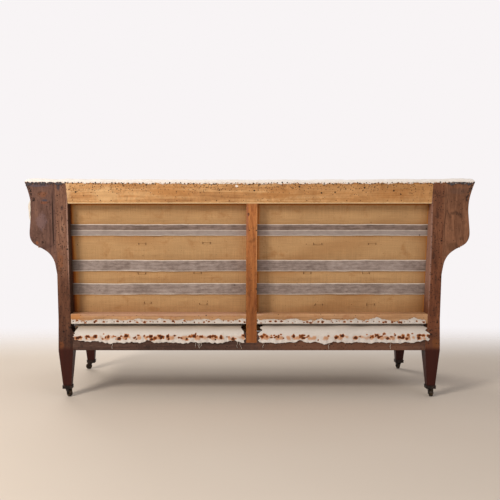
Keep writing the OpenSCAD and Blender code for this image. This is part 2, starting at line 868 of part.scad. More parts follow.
function back_ring(u) = let (
        heights = back_heights,
        n = len(heights) - 1,
        thin = mix(0.5, 1, end_round(u)))
    concat(
        [for (k = [0 : n]) [u * back_half(heights[k]),
            inner_at(heights[k]) - pad_off - back_thick(heights[k]) * thin,
            heights[k]]],
        [for (k = [n : -1 : 0]) [u * back_half(heights[k]), inner_at(heights[k]) - pad_off,
            heights[k]]]);

module inside_back_pad() {
    color("ivory")
        loft([for (k = [0 : BACK_STATIONS]) back_ring(-cos(180 * k / BACK_STATIONS))]);
}

// Stuffed roll along the top of the rail, posts and ears
module top_roll() {
    y0 = inner_at(top_z);
    y1 = rear_at(top_z) + calico_t;
    color("ivory")
        along_x(-half_span - ear_w, half_span + ear_w)
            polygon([for (a = [0 : 15 : 180])
                [mix(y1, y0, 0.5 - 0.5 * cos(a)), top_z + gap + top_roll_h * pow(sin(a), 0.6)]]);
}

// Hessian on the inner faces of the stay rail and arm rail, and of the wing
module side_hessian() {
    far = rear_at(top_z);
    color("goldenrod") {
        difference() {
            along_y(stump_y + gap, far)
                polygon([
                    [side_rail_in - gap, lower_z + gap],
                    [side_rail_in - gap, lower_z + stay_h],
                    [arm_in - gap, arm_z - arm_rail_t],
                    [arm_in - gap, arm_z - gap],
                    [arm_in - gap - hessian_t, arm_z - gap],
                    [arm_in - gap - hessian_t, arm_z - arm_rail_t],
                    [side_rail_in - gap - hessian_t, lower_z + stay_h],
                    [side_rail_in - gap - hessian_t, lower_z + gap]]);
            behind_back(pad_off);
        }
        intersection() {
            difference() {
                tilted()
                    along_x(wing_in - gap - hessian_t, wing_in - gap)
                        wing_outline(wing_rail_d / 4, top_z);
                behind_back(gap);
            }
            translate([0, 0, gap]) above_arm();
            block([post_in, wing_nose_y, arm_z], [scroll_x, rear_at(top_z), top_z]);
        }
    }
}

// Inside arm pad. Beside the wing it stops against the wing's board, and in front of the wing
// it rolls over the arm rail to its outer edge.
// Shares of the way from the back to the wing's nose, and from there to the stump
arm_rear_shares = [0.35, 0.7, 1];
arm_front_shares = [0.02, 0.1, 0.4, 0.7, 1];

// Face of the arm pad toward the sitter, from its lower edge to the turn of the roll, with its
// stuffing drawn in by a share
function arm_face(thin = 0) = let (
        z0 = lower_z + gap,
        z1 = arm_z - arm_rail_t,
        back = arm_in - side_off,
        t = arm_pad_t * (1 - thin),
        low = side_rail_in - side_off) [
    [low - t * 0.75, z0],
    [low - t * 0.85, knee_z],
    [low - t, mix(z0, z1, 0.2)],
    [mix(low, back, 0.35) - t, mix(z0, z1, 0.55)],
    [back - t * 0.96, mix(z0, z1, 0.88)],
    [back - t * 0.72, z1 + arm_rail_t * 0.7],
    [back - t * 0.3, arm_z + arm_roll_t * 0.62]];

function arm_ring(y_at, raked, front, swell, thin, turned) = let (
        z0 = lower_z + gap,
        z1 = arm_z - arm_rail_t,
        roll = arm_roll_t * swell,
        lip = front ? arm_out + gap : wing_in - side_off - gap - calico_t,
        lip_z = mix(arm_z + 2 * gap, arm_z - arm_rail_t / 2, turned),
        back = arm_in - side_off,
        flat = concat(arm_face(thin), [
            [mix(back, lip, 0.25), arm_z + roll * 0.95],
            [mix(back, lip, 0.55), arm_z + roll],
            [mix(back, lip, 0.85), arm_z + roll * 0.8],
            [lip + calico_t * (front ? 3 : 0.7), arm_z + roll * 0.3],
            [lip + calico_t * (front ? 2 : 1), lip_z],
            [lip, lip_z],
            [lip - gap, arm_z + gap],
            [mix(back, lip, 0.8), arm_z + gap],
            [mix(back, lip, 0.5), arm_z + gap],
            [mix(back, lip, 0.2), arm_z + gap],
            [back, arm_z + gap],
            [back, mix(z1, arm_z, 0.5)],
            [back, z1],
            [mix(side_rail_in - side_off, back, 0.5), mix(lower_z + stay_h, z1, 0.5)],
            [side_rail_in - side_off, lower_z + stay_h],
            [side_rail_in - side_off, knee_z],
            [side_rail_in - side_off, z0]]))
    [for (p = flat) [p[0], raked ? inner_at(p[1]) - pad_off : y_at, p[1]]];

module arm_pad() {
    y0 = inner_at(knee_z) - pad_off;
    color("ivory")
        loft(concat(
            [arm_ring(0, true, false, 0.9, 0, 0)],
            [for (s = arm_rear_shares) arm_ring(mix(y0, wing_nose_y, s), false, false, 0.96, 0, 0)],
            [for (s = arm_front_shares)
                arm_ring(mix(wing_nose_y, stump_y + gap, s), false, true,
                    1 - 0.1 * pow(s, 6), 0.4 * pow(s, 6), s > arm_front_shares[0] ? 1 : 0)]));
}

// Inside wing pad: a leaf against the wing's hessian, rolled over the board's curved edge
WING_PAD_STATIONS = 9;
wing_pad_z = arm_top + gap;
function lean_x(z) = (z - arm_z) * tan(wing_tilt);
// Depth of a station at height z: it starts against the raked back and straightens forward
function station_y(i, z) = let (s = min(1, i / 4))
    min(wing_y(i), mix(inner_at(z) - gap, wing_y(max(i, 4)), s));

function wing_ring(i) = let (
        top = arm_z + (wing_height(wing_y(i)) - arm_z) * cos(wing_tilt),
        low = min(wing_pad_z, top - gap),
        back = wing_in - side_off,
        outer = wing_in + wing_rail_t / cos(wing_tilt) + gap,
        skirt = min(wing_rail_d / 2, (top - arm_z) / 2),
        roll = wing_roll_t,
        flat = [
            [back - wing_pad_t * 0.6, low],
            [back - wing_pad_t, mix(low, top, 0.25)],
            [back - wing_pad_t, mix(low, top, 0.5)],
            [back - wing_pad_t * 0.95, mix(low, top, 0.78)],
            [back - wing_pad_t * 0.55, mix(low, top, 0.97) + roll * 0.5],
            [back, top + roll * 0.95],
            [mix(back, outer, 0.6), top + roll],
            [outer + roll * 0.6, top + roll * 0.3],
            [outer + roll * 0.75, top - skirt],
            [outer, top - skirt],
            [outer, top + gap],
            [mix(back, outer, 0.5), top + gap],
            [back, top + gap],
            [back, mix(low, top, 0.94)],
            [back, mix(low, top, 0.75)],
            [back, mix(low, top, 0.5)],
            [back, mix(low, top, 0.25)],
            [back, low]])
    [for (p = flat) [p[0] + lean_x(p[1]), station_y(i, p[1]), p[1]]];

module wing_pad() {
    color("ivory") loft([for (i = [0 : WING_PAD_STATIONS]) wing_ring(i)]);
}

// Caster parts, each drawn with its swivel on the Z axis and its wheel trailing toward +X
horn_z = wheel_d + wheel_gap;
cheek_y = wheel_w / 2 + wheel_gap;
cheek_end = cheek_y + cheek_t;
boss_r = pin_r * 2.2;
// Shares of the wheel's radius and half width along its half section
wheel_shares = [[0.45, 1], [0.52, 0.72], [0.76, 0.72], [0.83, 0.92], [0.95, 0.86], [1, 0.5]];

module rounded_square(w, r) {
    square([w - 2 * r, w], center = true);
    square([w, w - 2 * r], center = true);
    for (x = [-1, 1], y = [-1, 1])
        translate([x * (w / 2 - r), y * (w / 2 - r)]) circle(r);
}

module caster_cup() {
    hollow = foot_w + 2 * joint_gap;
    outer = hollow + 2 * cup_wall;
    color("dimgray")
        difference() {
            union() {
                translate([0, 0, foot_z - cup_t])
                    linear_extrude(cup_t + cup_h) rounded_square(outer, cup_wall);
                translate([0, 0, foot_z + cup_h - lip_h])
                    linear_extrude(lip_h) rounded_square(outer + 2 * lip_w, cup_wall);
            }
            translate([-hollow / 2, -hollow / 2, foot_z]) cube([hollow, hollow, cup_h + over]);
            translate([0, 0, foot_z - cup_t - over])
                cylinder(r = spindle_r + run_gap, h = cup_t + 2 * over);
        }
}

module cheek_outline() {
    difference() {
        union() {
            translate([trail, wheel_d / 2]) circle(boss_r);
            polygon([
                [-plate_r / 2, horn_z + horn_t],
                [trail + boss_r, horn_z + horn_t],
                [trail + boss_r, wheel_d / 2],
                [trail - boss_r, wheel_d / 2],
                [-plate_r / 2, horn_z - wheel_gap]]);
        }
        translate([trail, wheel_d / 2]) circle(pin_r + run_gap);
    }
}

module caster_horn() {
    color("dimgray")
        union() {
            translate([0, 0, horn_z])
                linear_extrude(horn_t) {
                    circle(plate_r);
                    translate([-plate_r / 2, -cheek_end])
                        square([trail + boss_r + plate_r / 2, 2 * cheek_end]);
                }
            for (y = [-cheek_end, cheek_y])
                along_y(y, y + cheek_t) cheek_outline();
            translate([0, 0, horn_z])
                cylinder(r = spindle_r, h = foot_z + swivel_gap + horn_t - horn_z);
            translate([0, 0, foot_z + swivel_gap])
                cylinder(r = head_r, h = horn_t);
        }
}

module caster_pin() {
    color("dimgray")
        translate([trail, cheek_end + swivel_gap, wheel_d / 2])
            rotate([90, 0, 0]) {
                cylinder(r = pin_r, h = 2 * (cheek_end + swivel_gap));
                translate([0, 0, -pin_r / 2]) cylinder(r = pin_r * 1.5, h = pin_r / 2);
                translate([0, 0, 2 * (cheek_end + swivel_gap)])
                    cylinder(r = pin_r * 1.5, h = pin_r / 2);
            }
}

module caster_wheel() {
    r = wheel_d / 2;
    w = wheel_w / 2;
    bore = pin_r + run_gap;
    half = [for (s = wheel_shares) [r * s[0], w * s[1]]];
    color("darkgoldenrod")
        translate([trail, 0, r])
            rotate([90, 0, 0])
                rotate_extrude()
                    polygon(concat(
                        [[bore, -w], [bore, w]],
                        half,
                        [for (k = [len(half) - 1 : -1 : 0]) [half[k][0], -half[k][1]]]));
}

module caster_rear_left() {
    translate([foot_x, foot_y_rear, 0]) rotate([0, 0, turn_rear_left]) children();
}

module caster_rear_right() {
    translate([-foot_x, foot_y_rear, 0]) rotate([0, 0, turn_rear_right]) children();
}

module caster_front_left() {
    translate([foot_x, foot_y_front, 0]) rotate([0, 0, turn_front_left]) children();
}

module caster_front_right() {
    translate([-foot_x, foot_y_front, 0]) rotate([0, 0, turn_front_right]) children();
}

module cup_at(x, y) {
    translate([x, y, 0]) caster_cup();
}

rear_post(lap_left);  // rear_post_left
on_side(-1) rear_post(lap_right);  // rear_post_right
ear_block();  // ear_block_left
on_side(-1) ear_block();  // ear_block_right
top_rail();
centre_upright();
lower_back_rail(upright_hi, post_in);  // lower_back_rail_left
lower_back_rail(-post_in, upright_lo);  // lower_back_rail_right
seat_rail_back();
seat_rail_front();
seat_rail_side();  // seat_rail_left
on_side(-1) seat_rail_side();  // seat_rail_right
corner_blocks();
front_leg();  // front_leg_left
on_side(-1) front_leg();  // front_leg_right
arm_stump();  // arm_stump_left
on_side(-1) arm_stump();  // arm_stump_right
arm_rail();  // arm_rail_left
on_side(-1) arm_rail();  // arm_rail_right
stay_rail();  // side_stay_rail_left
on_side(-1) stay_rail();  // side_stay_rail_right
wing_rail();  // wing_rail_left
on_side(-1) wing_rail();  // wing_rail_right
wing_post();  // wing_post_left
on_side(-1) wing_post();  // wing_post_right
back_webbing();
back_hessian();
seat_webbing();
seat_springs();
spring_hessian();
seat_pad();
seat_calico(upright_hi + gap, block_in - gap);  // seat_calico_left
seat_calico(gap - block_in, upright_lo - gap);  // seat_calico_right
rail_calico(upright_hi + gap, block_in - gap);  // rail_calico_left
rail_calico(gap - block_in, upright_lo - gap);  // rail_calico_right
side_hessian();  // side_hessian_left
on_side(-1) side_hessian();  // side_hessian_right
inside_back_pad();
arm_pad();  // arm_pad_left
on_side(-1) arm_pad();  // arm_pad_right
wing_pad();  // wing_pad_left
on_side(-1) wing_pad();  // wing_pad_right
top_roll();
cup_at(foot_x, foot_y_rear);  // caster_cup_rear_left
caster_rear_left() caster_horn();  // caster_horn_rear_left
caster_rear_left() caster_pin();  // caster_pin_rear_left
caster_rear_left() caster_wheel();  // caster_wheel_rear_left
cup_at(-foot_x, foot_y_rear);  // caster_cup_rear_right
caster_rear_right() caster_horn();  // caster_horn_rear_right
caster_rear_right() caster_pin();  // caster_pin_rear_right
caster_rear_right() caster_wheel();  // caster_wheel_rear_right
cup_at(foot_x, foot_y_front);  // caster_cup_front_left
caster_front_left() caster_horn();  // caster_horn_front_left
caster_front_left() caster_pin();  // caster_pin_front_left
caster_front_left() caster_wheel();  // caster_wheel_front_left
cup_at(-foot_x, foot_y_front);  // caster_cup_front_right
caster_front_right() caster_horn();  // caster_horn_front_right
caster_front_right() caster_pin();  // caster_pin_front_right
caster_front_right() caster_wheel();  // caster_wheel_front_right
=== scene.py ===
"""A wingback sofa with its outer covers off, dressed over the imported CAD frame.

The camera stands behind the sofa. Lengths are in metres, in the CAD frame: X runs along the sofa,
+Y is behind it and Z is up.
"""

import logging
import math
from abc import ABC, abstractmethod
from dataclasses import dataclass, field, replace
from enum import Enum
from functools import cache
from typing import Any, Callable, Sequence

import bmesh
import bpy
import numpy as np
from numpy.typing import NDArray
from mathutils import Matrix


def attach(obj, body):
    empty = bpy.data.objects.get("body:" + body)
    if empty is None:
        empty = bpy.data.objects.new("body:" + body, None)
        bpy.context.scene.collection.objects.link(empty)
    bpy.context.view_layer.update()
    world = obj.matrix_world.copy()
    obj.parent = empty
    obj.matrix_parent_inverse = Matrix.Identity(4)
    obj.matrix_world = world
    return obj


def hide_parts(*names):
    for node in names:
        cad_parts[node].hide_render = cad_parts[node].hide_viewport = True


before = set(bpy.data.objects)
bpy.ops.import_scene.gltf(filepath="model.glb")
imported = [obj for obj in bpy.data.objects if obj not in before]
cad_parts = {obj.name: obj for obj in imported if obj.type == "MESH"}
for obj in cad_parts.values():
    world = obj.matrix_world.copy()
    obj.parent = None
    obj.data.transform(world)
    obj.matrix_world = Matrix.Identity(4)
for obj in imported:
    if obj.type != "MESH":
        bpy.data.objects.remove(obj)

LOG = logging.getLogger("sofa")
BODY = "sofa"
WEAVE_MAP = "weave"
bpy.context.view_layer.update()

Array = NDArray[np.float64]
Colour = tuple[float, float, float, float]


def paint(code: str) -> Colour:
    """Linear colour: each part c gives c / 12.92 when small and ((c + 0.055) / 1.055) ** 2.4 above.

    Args:
        code: six hex digits.

    Returns:
        The colour, opaque.
    """
    c = np.array([int(code[i:i + 2], 16) for i in (0, 2, 4)]) / 255
    linear = np.where(c <= 0.04045, c / 12.92, ((c + 0.055) / 1.055) ** 2.4)
    return (float(linear[0]), float(linear[1]), float(linear[2]), 1.0)


def blend(a: Any, b: Any, share: Any) -> Any:
    """The value that lies a share of the way from a to b: a + (b - a) * share."""
    return a + (b - a) * share


def ease(x: Any, low: float, high: float) -> Any:
    """Smooth step: t * t * (3 - 2 * t), where t runs from 0 at low to 1 at high."""
    t = np.clip((np.asarray(x, float) - low) / (high - low), 0, 1)
    return t * t * (3 - 2 * t)


def ripple(places: Sequence[Array], size: float, seed: int, waves: int = 14) -> Array:
    """Soft lumps over a surface, about -1 to 1.

    The sum of sine waves whose directions and phases are drawn from the seed, with wavelengths
    from 0.6 to 2 times size, divided by the root of half their number.

    Args:
        places: coordinate arrays of one shape.
        size: usual width of a lump, in metres.
        seed: start of the random draw.
        waves: number of waves.

    Returns:
        Array of the same shape.
    """
    rng = np.random.default_rng(seed)
    spread = rng.normal(size=(waves, len(places)))
    spread /= np.linalg.norm(spread, axis=1, keepdims=True)
    rate = 2 * np.pi / (size * rng.uniform(0.6, 2, waves))
    phase = rng.uniform(0, 2 * np.pi, waves)
    total = sum(spread[:, k].reshape(-1, *[1] * np.ndim(places[0])) * places[k] for k in range(len(places)))
    rate, phase = (a.reshape(-1, *[1] * np.ndim(places[0])) for a in (rate, phase))
    return np.sin(total * rate + phase).sum(0) / math.sqrt(waves / 2)


def spaced(start: float, end: float, pitch: float, scatter: float, seed: int) -> Array:
    """Places along a line, about a pitch apart.

    Args:
        start: of the line.
        end: of the line.
        pitch: usual distance from one place to the next.
        scatter: share of the pitch by which each place may be off.
        seed: start of the random draw.

    Returns:
        The places.
    """
    count = max(2, round(abs(end - start) / pitch) + 1)
    rng = np.random.default_rng(seed)
    return np.linspace(start, end, count) + rng.uniform(-scatter, scatter, count) * pitch


# Materials


def two_way(operation: str, swapped: bool = False) -> Callable[["Sock", Any], "Sock"]:
    """Makes an operator of sockets from one Math node.

    Args:
        operation: of the node.
        swapped: whether it is a reflected form, whose values change places.

    Returns:
        The operator.
    """
    def apply(self: "Sock", other: Any) -> "Sock":
        """The node's result."""
        return self.graph.maths(operation, *((other, self) if swapped else (self, other)))
    return apply


class Sock:
    """A socket of a graph that can stand in sums, differences, products and quotients."""

    def __init__(self, graph: "Graph", socket: bpy.types.NodeSocket) -> None:
        """Keeps the graph and the socket."""
        self.graph = graph
        self.socket = socket

    __add__ = __radd__ = two_way("ADD")
    __mul__ = __rmul__ = two_way("MULTIPLY")
    __sub__, __rsub__ = two_way("SUBTRACT"), two_way("SUBTRACT", True)
    __truediv__, __rtruediv__ = two_way("DIVIDE"), two_way("DIVIDE", True)
    over = two_way("MAXIMUM")

    def __abs__(self) -> "Sock":
        """Size of self without its sign."""
        return self.graph.maths("ABSOLUTE", self)

    def sine(self) -> "Sock":
        """Sine of self, in radians."""
        return self.graph.maths("SINE", self)

    def ease(self, low: float, high: float) -> "Sock":
        """Smooth step of self from 0 at low to 1 at high, or down where high is the lower one."""
        return self.graph.value("MapRange", {"interpolation_type": "SMOOTHSTEP"},
                                {0: self, 1: low, 2: high, 3: 0.0, 4: 1.0})


class Graph:
    """The node graph of one material or of the world."""

    def __init__(self, name: str, kind: str = "materials") -> None:
        """Starts an empty graph.

        Args:
            name: of the new material or world.
            kind: materials or worlds.
        """
        self.owner = getattr(bpy.data, kind).new(name)
        self.owner.use_nodes = True
        self.tree = self.owner.node_tree
        self.tree.nodes.clear()

    def node(self, kind: str, settings: dict[str, Any] | None = None,
             inputs: dict[int | str, Any] | None = None) -> bpy.types.Node:
        """Adds one node.

        Args:
            kind: the node's type without its ShaderNode beginning.
            settings: its properties, set first; "stops" are a ramp's places and hex colours.
            inputs: values, hex colours or sockets for its input sockets.

        Returns:
            The node.
        """
        made = self.tree.nodes.new("ShaderNode" + kind)
        for key, value in (settings or {}).items():
            if key == "stops":
                ramp = made.color_ramp
                while len(ramp.elements) < len(value):
                    ramp.elements.new(0.5)
                for stop, (place, code) in zip(ramp.elements, value):
                    stop.position, stop.color = place, paint(code)
            else:
                setattr(made, key, value)
        for key, value in (inputs or {}).items():
            if isinstance(value, Sock):
                self.tree.links.new(value.socket, made.inputs[key])
            else:
                made.inputs[key].default_value = paint(value) if isinstance(value, str) else value
        return made

    def value(self, kind: str, settings: dict[str, Any] | None = None, inputs: dict[int | str, Any] | None = None,
              output: int | str = 0) -> Sock:
        """One output of a new node."""
        return Sock(self, self.node(kind, settings, inputs).outputs[output])

    def maths(self, operation: str, *values: Any) -> Sock:
        """Result of one Math node on values or sockets."""
        return self.value("Math", {"operation": operation}, dict(enumerate(values)))

    def mix(self, a: Any, b: Any, share: Any, way: str = "MIX") -> Sock:
        """Colour that lies a share of the way from a to b, or to what another way of mixing gives."""
        return self.value("Mix", {"data_type": "RGBA", "blend_type": way}, {0: share, 6: a, 7: b}, 2)

    def shade(self, a: Sock | Colour, level: Sock) -> Sock:
        """Colour a times a level that may pass 1."""
        return self.value("VectorMath", {"operation": "SCALE"}, {0: a if isinstance(a, Sock) else a[:3], 3: level})

    def place(self) -> Sock:
        """Object coordinates, in metres."""
        return self.value("TexCoord", output="Object")

    def weave(self) -> Sock:
        """The piece's own cloth map, in metres along and across the threads."""
        return self.value("UVMap", {"uv_map": WEAVE_MAP})

    def parts(self, vector: Sock) -> list[Sock]:
        """The three parts of a vector."""
        return [Sock(self, s) for s in self.node("SeparateXYZ", None, {0: vector}).outputs]

    def noise(self, vector: Sock, scale: float | Sequence[float], detail: float = 2.0, roughness: float = 0.5,
              twist: float = 0.0) -> Sock:
        """Cloudy value, drawn out where each part of the vector has its own scale.

        Args:
            vector: coordinates in metres.
            scale: of the clouds, one number or three.
            detail: number of finer layers.
            roughness: strength of the finer layers.
            twist: how far the clouds are pulled about.

        Returns:
            0 to 1.
        """
        if not isinstance(scale, (int, float)):
            vector, scale = self.value("Mapping", None, {0: vector, 3: tuple(scale)}), 1.0
        return self.value("TexNoise", None, {"Vector": vector, "Scale": scale, "Detail": detail,
                                             "Roughness": roughness, "Distortion": twist})

    def attribute(self, name: str) -> Sock:
        """A number kept on the mesh's vertices, or 0 where it has none."""
        return self.value("Attribute", {"attribute_name": name}, output="Fac")

    def pits(self, vector: Sock, pitch: float, radius: float, share: Any) -> Sock:
        """Round holes of a radius, a pitch apart at most.

        The nearest point of a scattered set is closer than the radius, and that point's own random
        number is under the share.

        Args:
            vector: coordinates in metres.
            pitch: cell size.
            radius: of the holes.
            share: of the cells that have one, a number or a socket.

        Returns:
            1 in a hole and 0 outside.
        """
        made = self.node("TexVoronoi", None, {"Vector": vector, "Scale": 1 / pitch, "Randomness": 1.0})
        near = Sock(self, made.outputs["Distance"]).ease(radius / pitch * 1.35, radius / pitch * 0.75)
        lot = self.parts(Sock(self, made.outputs["Color"]))[0]
        return near * self.maths("LESS_THAN", lot, share)

    def bump(self, height: Sock, depth: float, strength: float = 1.0) -> Sock:
        """Normal from a height of 0 to 1 that stands for a depth in metres."""
        return self.value("Bump", None, {"Strength": strength, "Distance": depth, "Height": height})

    def finish(self, inputs: dict[int | str, Any]) -> bpy.types.Material:
        """The material, ended with a Principled shader of these inputs."""
        self.node("OutputMaterial", None, {0: self.value("BsdfPrincipled", None, inputs)})
        return self.owner


@dataclass(frozen=True)
class Finish(ABC):
    """A look with a name, drawn as one graph."""

    name: str

    @abstractmethod
    def draw(self, g: Graph) -> dict[int | str, Any]:
        """Adds its nodes to a graph and gives the shader's inputs."""

    @cache
    def material(self) -> bpy.types.Material:
        """The material, made once."""
        g = Graph(self.name)
        return g.finish(self.draw(g))


class Grain(Enum):
    """Direction of a timber's grain."""

    X = 0
    Y = 1
    Z = 2

    def stretch(self, across: float, along: float) -> list[float]:
        """Scales of a pattern drawn out along the grain."""
        return [along if k == self.value else across for k in range(3)]


@dataclass(frozen=True)
class Mark:
    """A soft oval stain, rubbed line, joint line, painted highlight or painted shade on a timber's rear face."""

    x: float
    z: float
    wide: float
    tall: float
    colour: str
    share: float = 0.6
    rough: float = 2.0

    def share_at(self, g: Graph, x: Sock, z: Sock, lumps: Sock) -> Sock:
        """How much of the mark shows.

        It is the share where the distance over the half sizes, changed by lumps, is under about 1.

        Args:
            g: the graph.
            x: along the sofa.
            z: height.
            lumps: cloudy value that breaks up the outline.

        Returns:
            0 to the mark's share.
        """
        across, up = (x - self.x) / self.wide, (z - self.z) / self.tall
        far = g.maths("SQRT", across * across + up * up) + (lumps - 0.5) * self.rough
        return far.ease(1.15, 0.55) * self.share


@dataclass(frozen=True)
class Timber(Finish):
    """Bare frame timber with grain, stains and old tack holes, worn where it stands for rubbed edges."""

    pale: str
    mid: str
    deep: str
    grain: Grain = Grain.Z
    stain: str = "2a160d"
    stain_share: float = 0.3
    hole_share: float = 0.3
    hole_radius: float = 0.0017
    hole_low: float = 0.0
    hole_high: float = 0.01
    scrape: str = ""
    polish_under: float = 0.0
    polish: str = "3a180e"
    roughness: float = 0.62
    figure: float = 0.0
    dim: str = "ffffff"
    dim_low: float = 0.4
    dim_high: float = 0.9
    marks: tuple[Mark, ...] = ()
    shaded_side: float = 0.0
    worn: bool = False

    def draw(self, g: Graph) -> dict[int | str, Any]:
        """Draws the timber.

        Growth bands, fibres and pores are noise drawn out along the grain; stains are cloudy noise;
        tack holes are scattered points that thicken from height hole_low to hole_high. The colour is
        dimmed toward dim_low, and each mark is mixed over it.

        Args:
            g: the material's graph.

        Returns:
            The shader's inputs.
        """
        at = g.place()
        x, _, height = g.parts(at)
        bands = g.noise(at, self.grain.stretch(55, 2.6), 4, 0.6, 0.7)
        fibre = g.noise(at, self.grain.stretch(420, 9), 3, 0.65)
        cloud = g.noise(at, 6.5, 3, 0.55, 0.4)
        tone = bands * 0.62 + fibre * 0.38
        colour = g.value("ValToRGB", {"stops": ((0.32, self.deep), (0.5, self.mid), (0.68, self.pale))}, {0: tone})
        colour = g.shade(colour, (cloud - 0.5) * 0.55 + 1.0)
        if self.figure:
            curl = g.noise(at, (46, 20, 30), 5, 0.62, 1.4)
            colour = g.shade(colour, (curl - 0.5) * self.figure + 1.0)
        blots = g.noise(at, 24, 4, 0.6, 0.3).ease(0.54, 0.72) * self.stain_share
        colour = g.mix(colour, self.stain, blots)
        pores = g.noise(at, self.grain.stretch(900, 30), 2, 0.5).ease(0.62, 0.74)
        colour = g.mix(colour, self.deep, pores * 0.5)
        rough = fibre * 0.18 + (self.roughness - 0.09)
        if self.scrape:
            rubbed = g.noise(at, self.grain.stretch(160, 38), 4, 0.7).ease(0.56, 0.7)
            colour = g.mix(colour, self.scrape, rubbed * 0.55)
        if self.dim != "ffffff":
            colour = g.mix(colour, self.dim, height.ease(self.dim_high, self.dim_low), "MULTIPLY")
        if self.shaded_side:
            shaded = abs(x).ease(self.shaded_side + 0.003, self.shaded_side + 0.001)
            colour = g.mix(colour, "26130c", shaded * 0.7)
        lumps = g.noise(at, 55, 4, 0.7) if self.marks else bands
        for mark in self.marks:
            colour = g.mix(colour, mark.colour, mark.share_at(g, x, height, lumps))
        if self.worn:
            chips = g.noise(at, 140, 3, 0.6).ease(0.42, 0.62)
            colour = g.mix(colour, self.pale, chips * 0.75)
        crowd = height.ease(self.hole_low, self.hole_high) * self.hole_share
        hole = g.pits(at, 0.0085, self.hole_radius, crowd).over(g.pits(at, 0.031, self.hole_radius * 1.9, crowd * 0.8))
        relief = fibre * 0.3 - hole * 1.0 + bands * 0.3
        if self.polish_under:
            sheen = height.ease(self.polish_under + 0.012, self.polish_under - 0.012)
            shine = g.shade(paint(self.polish), tone * 1.5 + 0.25)
            colour = g.mix(colour, shine, sheen)
            hole = hole * (1 - sheen)
            rough = rough - sheen * 0.1
            relief = relief * (1 - sheen * 0.85)
        colour = g.mix(colour, "140a06", hole * 0.9)
        return {"Base Color": colour, "Roughness": rough, "Normal": g.bump(relief, 0.0009, 0.7),
                "Specular IOR Level": 0.2}


@dataclass(frozen=True)
class WovenCloth(Finish):
    """Plain-woven cloth such as hessian or calico, drawn on the piece's cloth map."""

    colour: str
    deep: str
    pitch: float
    slub: float
    relief: float
    soil: str
    soil_share: float
    fleck: float = 0.0
    sheen: float = 0.15
    roughness: float = 0.9

    def draw(self, g: Graph) -> dict[int | str, Any]:
        """Draws the cloth.

        With a = sin(pi u / p) and b = sin(pi v / p), the height is |a| where a * b is over 0 and |b|
        elsewhere, so threads pass over and under. Rust and soil come from the mesh's own attributes.
        On the back hessian the rust attribute holds painted shadows, and there and on the seat calico
        the soil attribute holds painted shade as well as soil.

        Args:
            g: the material's graph.

        Returns:
            The shader's inputs.
        """
        at, cloth = g.place(), g.weave()
        wander = g.noise(cloth, 40, 2, 0.5) - 0.5
        u, v, _ = g.parts(cloth)
        a, b = (((run + wander * (self.pitch * 0.7)) * (math.pi / self.pitch)).sine() for run in (u, v))
        over = (a * b).ease(-0.35, 0.35)
        thread = abs(a) * over + abs(b) * (1 - over)
        warp = g.noise(cloth, (1 / self.pitch, 9, 1), 2, 0.6)
        weft = g.noise(cloth, (9, 1 / self.pitch, 1), 2, 0.6)
        slubs = (warp + weft - 1.0) * self.slub
        cloud = g.noise(at, 5, 3, 0.6)
        colour = g.mix(self.deep, self.colour, thread * 0.45 + 0.55)
        colour = g.shade(colour, slubs + (cloud - 0.5) * 0.22 + 1.0)
        dirt_and_shade = g.noise(at, 17, 4, 0.65, 0.5).ease(0.5, 0.78) * self.soil_share
        dirt_and_shade = dirt_and_shade.over(g.attribute("soil"))
        colour = g.mix(colour, self.soil, dirt_and_shade)
        if self.fleck:
            knots = g.pits(at, 0.036, 0.0022, self.fleck).over(g.pits(at, 0.011, 0.0011, self.fleck))
            colour = g.mix(colour, "4d2f16", knots * 0.75)
        fray = g.noise(at, 210, 3, 0.7)
        rust = g.attribute("rust") + (fray - 0.5) * 0.24
        # The rust ramp runs from orange to near black; on the back hessian it paints shadow, and its darkest stops
        # stand for the deepest shade.
        for low, high, code, share in ((0.08, 0.28, "c07a35", 0.7), (0.28, 0.46, "98521a", 0.95),
                                       (0.5, 0.74, "5a2a10", 0.95), (0.9, 1.15, "1d0f09", 0.8)):
            colour = g.mix(colour, code, rust.ease(low, high) * share)
        height = thread * 0.7 + slubs * 0.6 + fray * 0.1
        return {"Base Color": colour, "Roughness": self.roughness, "Sheen Weight": self.sheen,
                "Specular IOR Level": 0.2, "Normal": g.bump(height, self.relief, 0.8)}


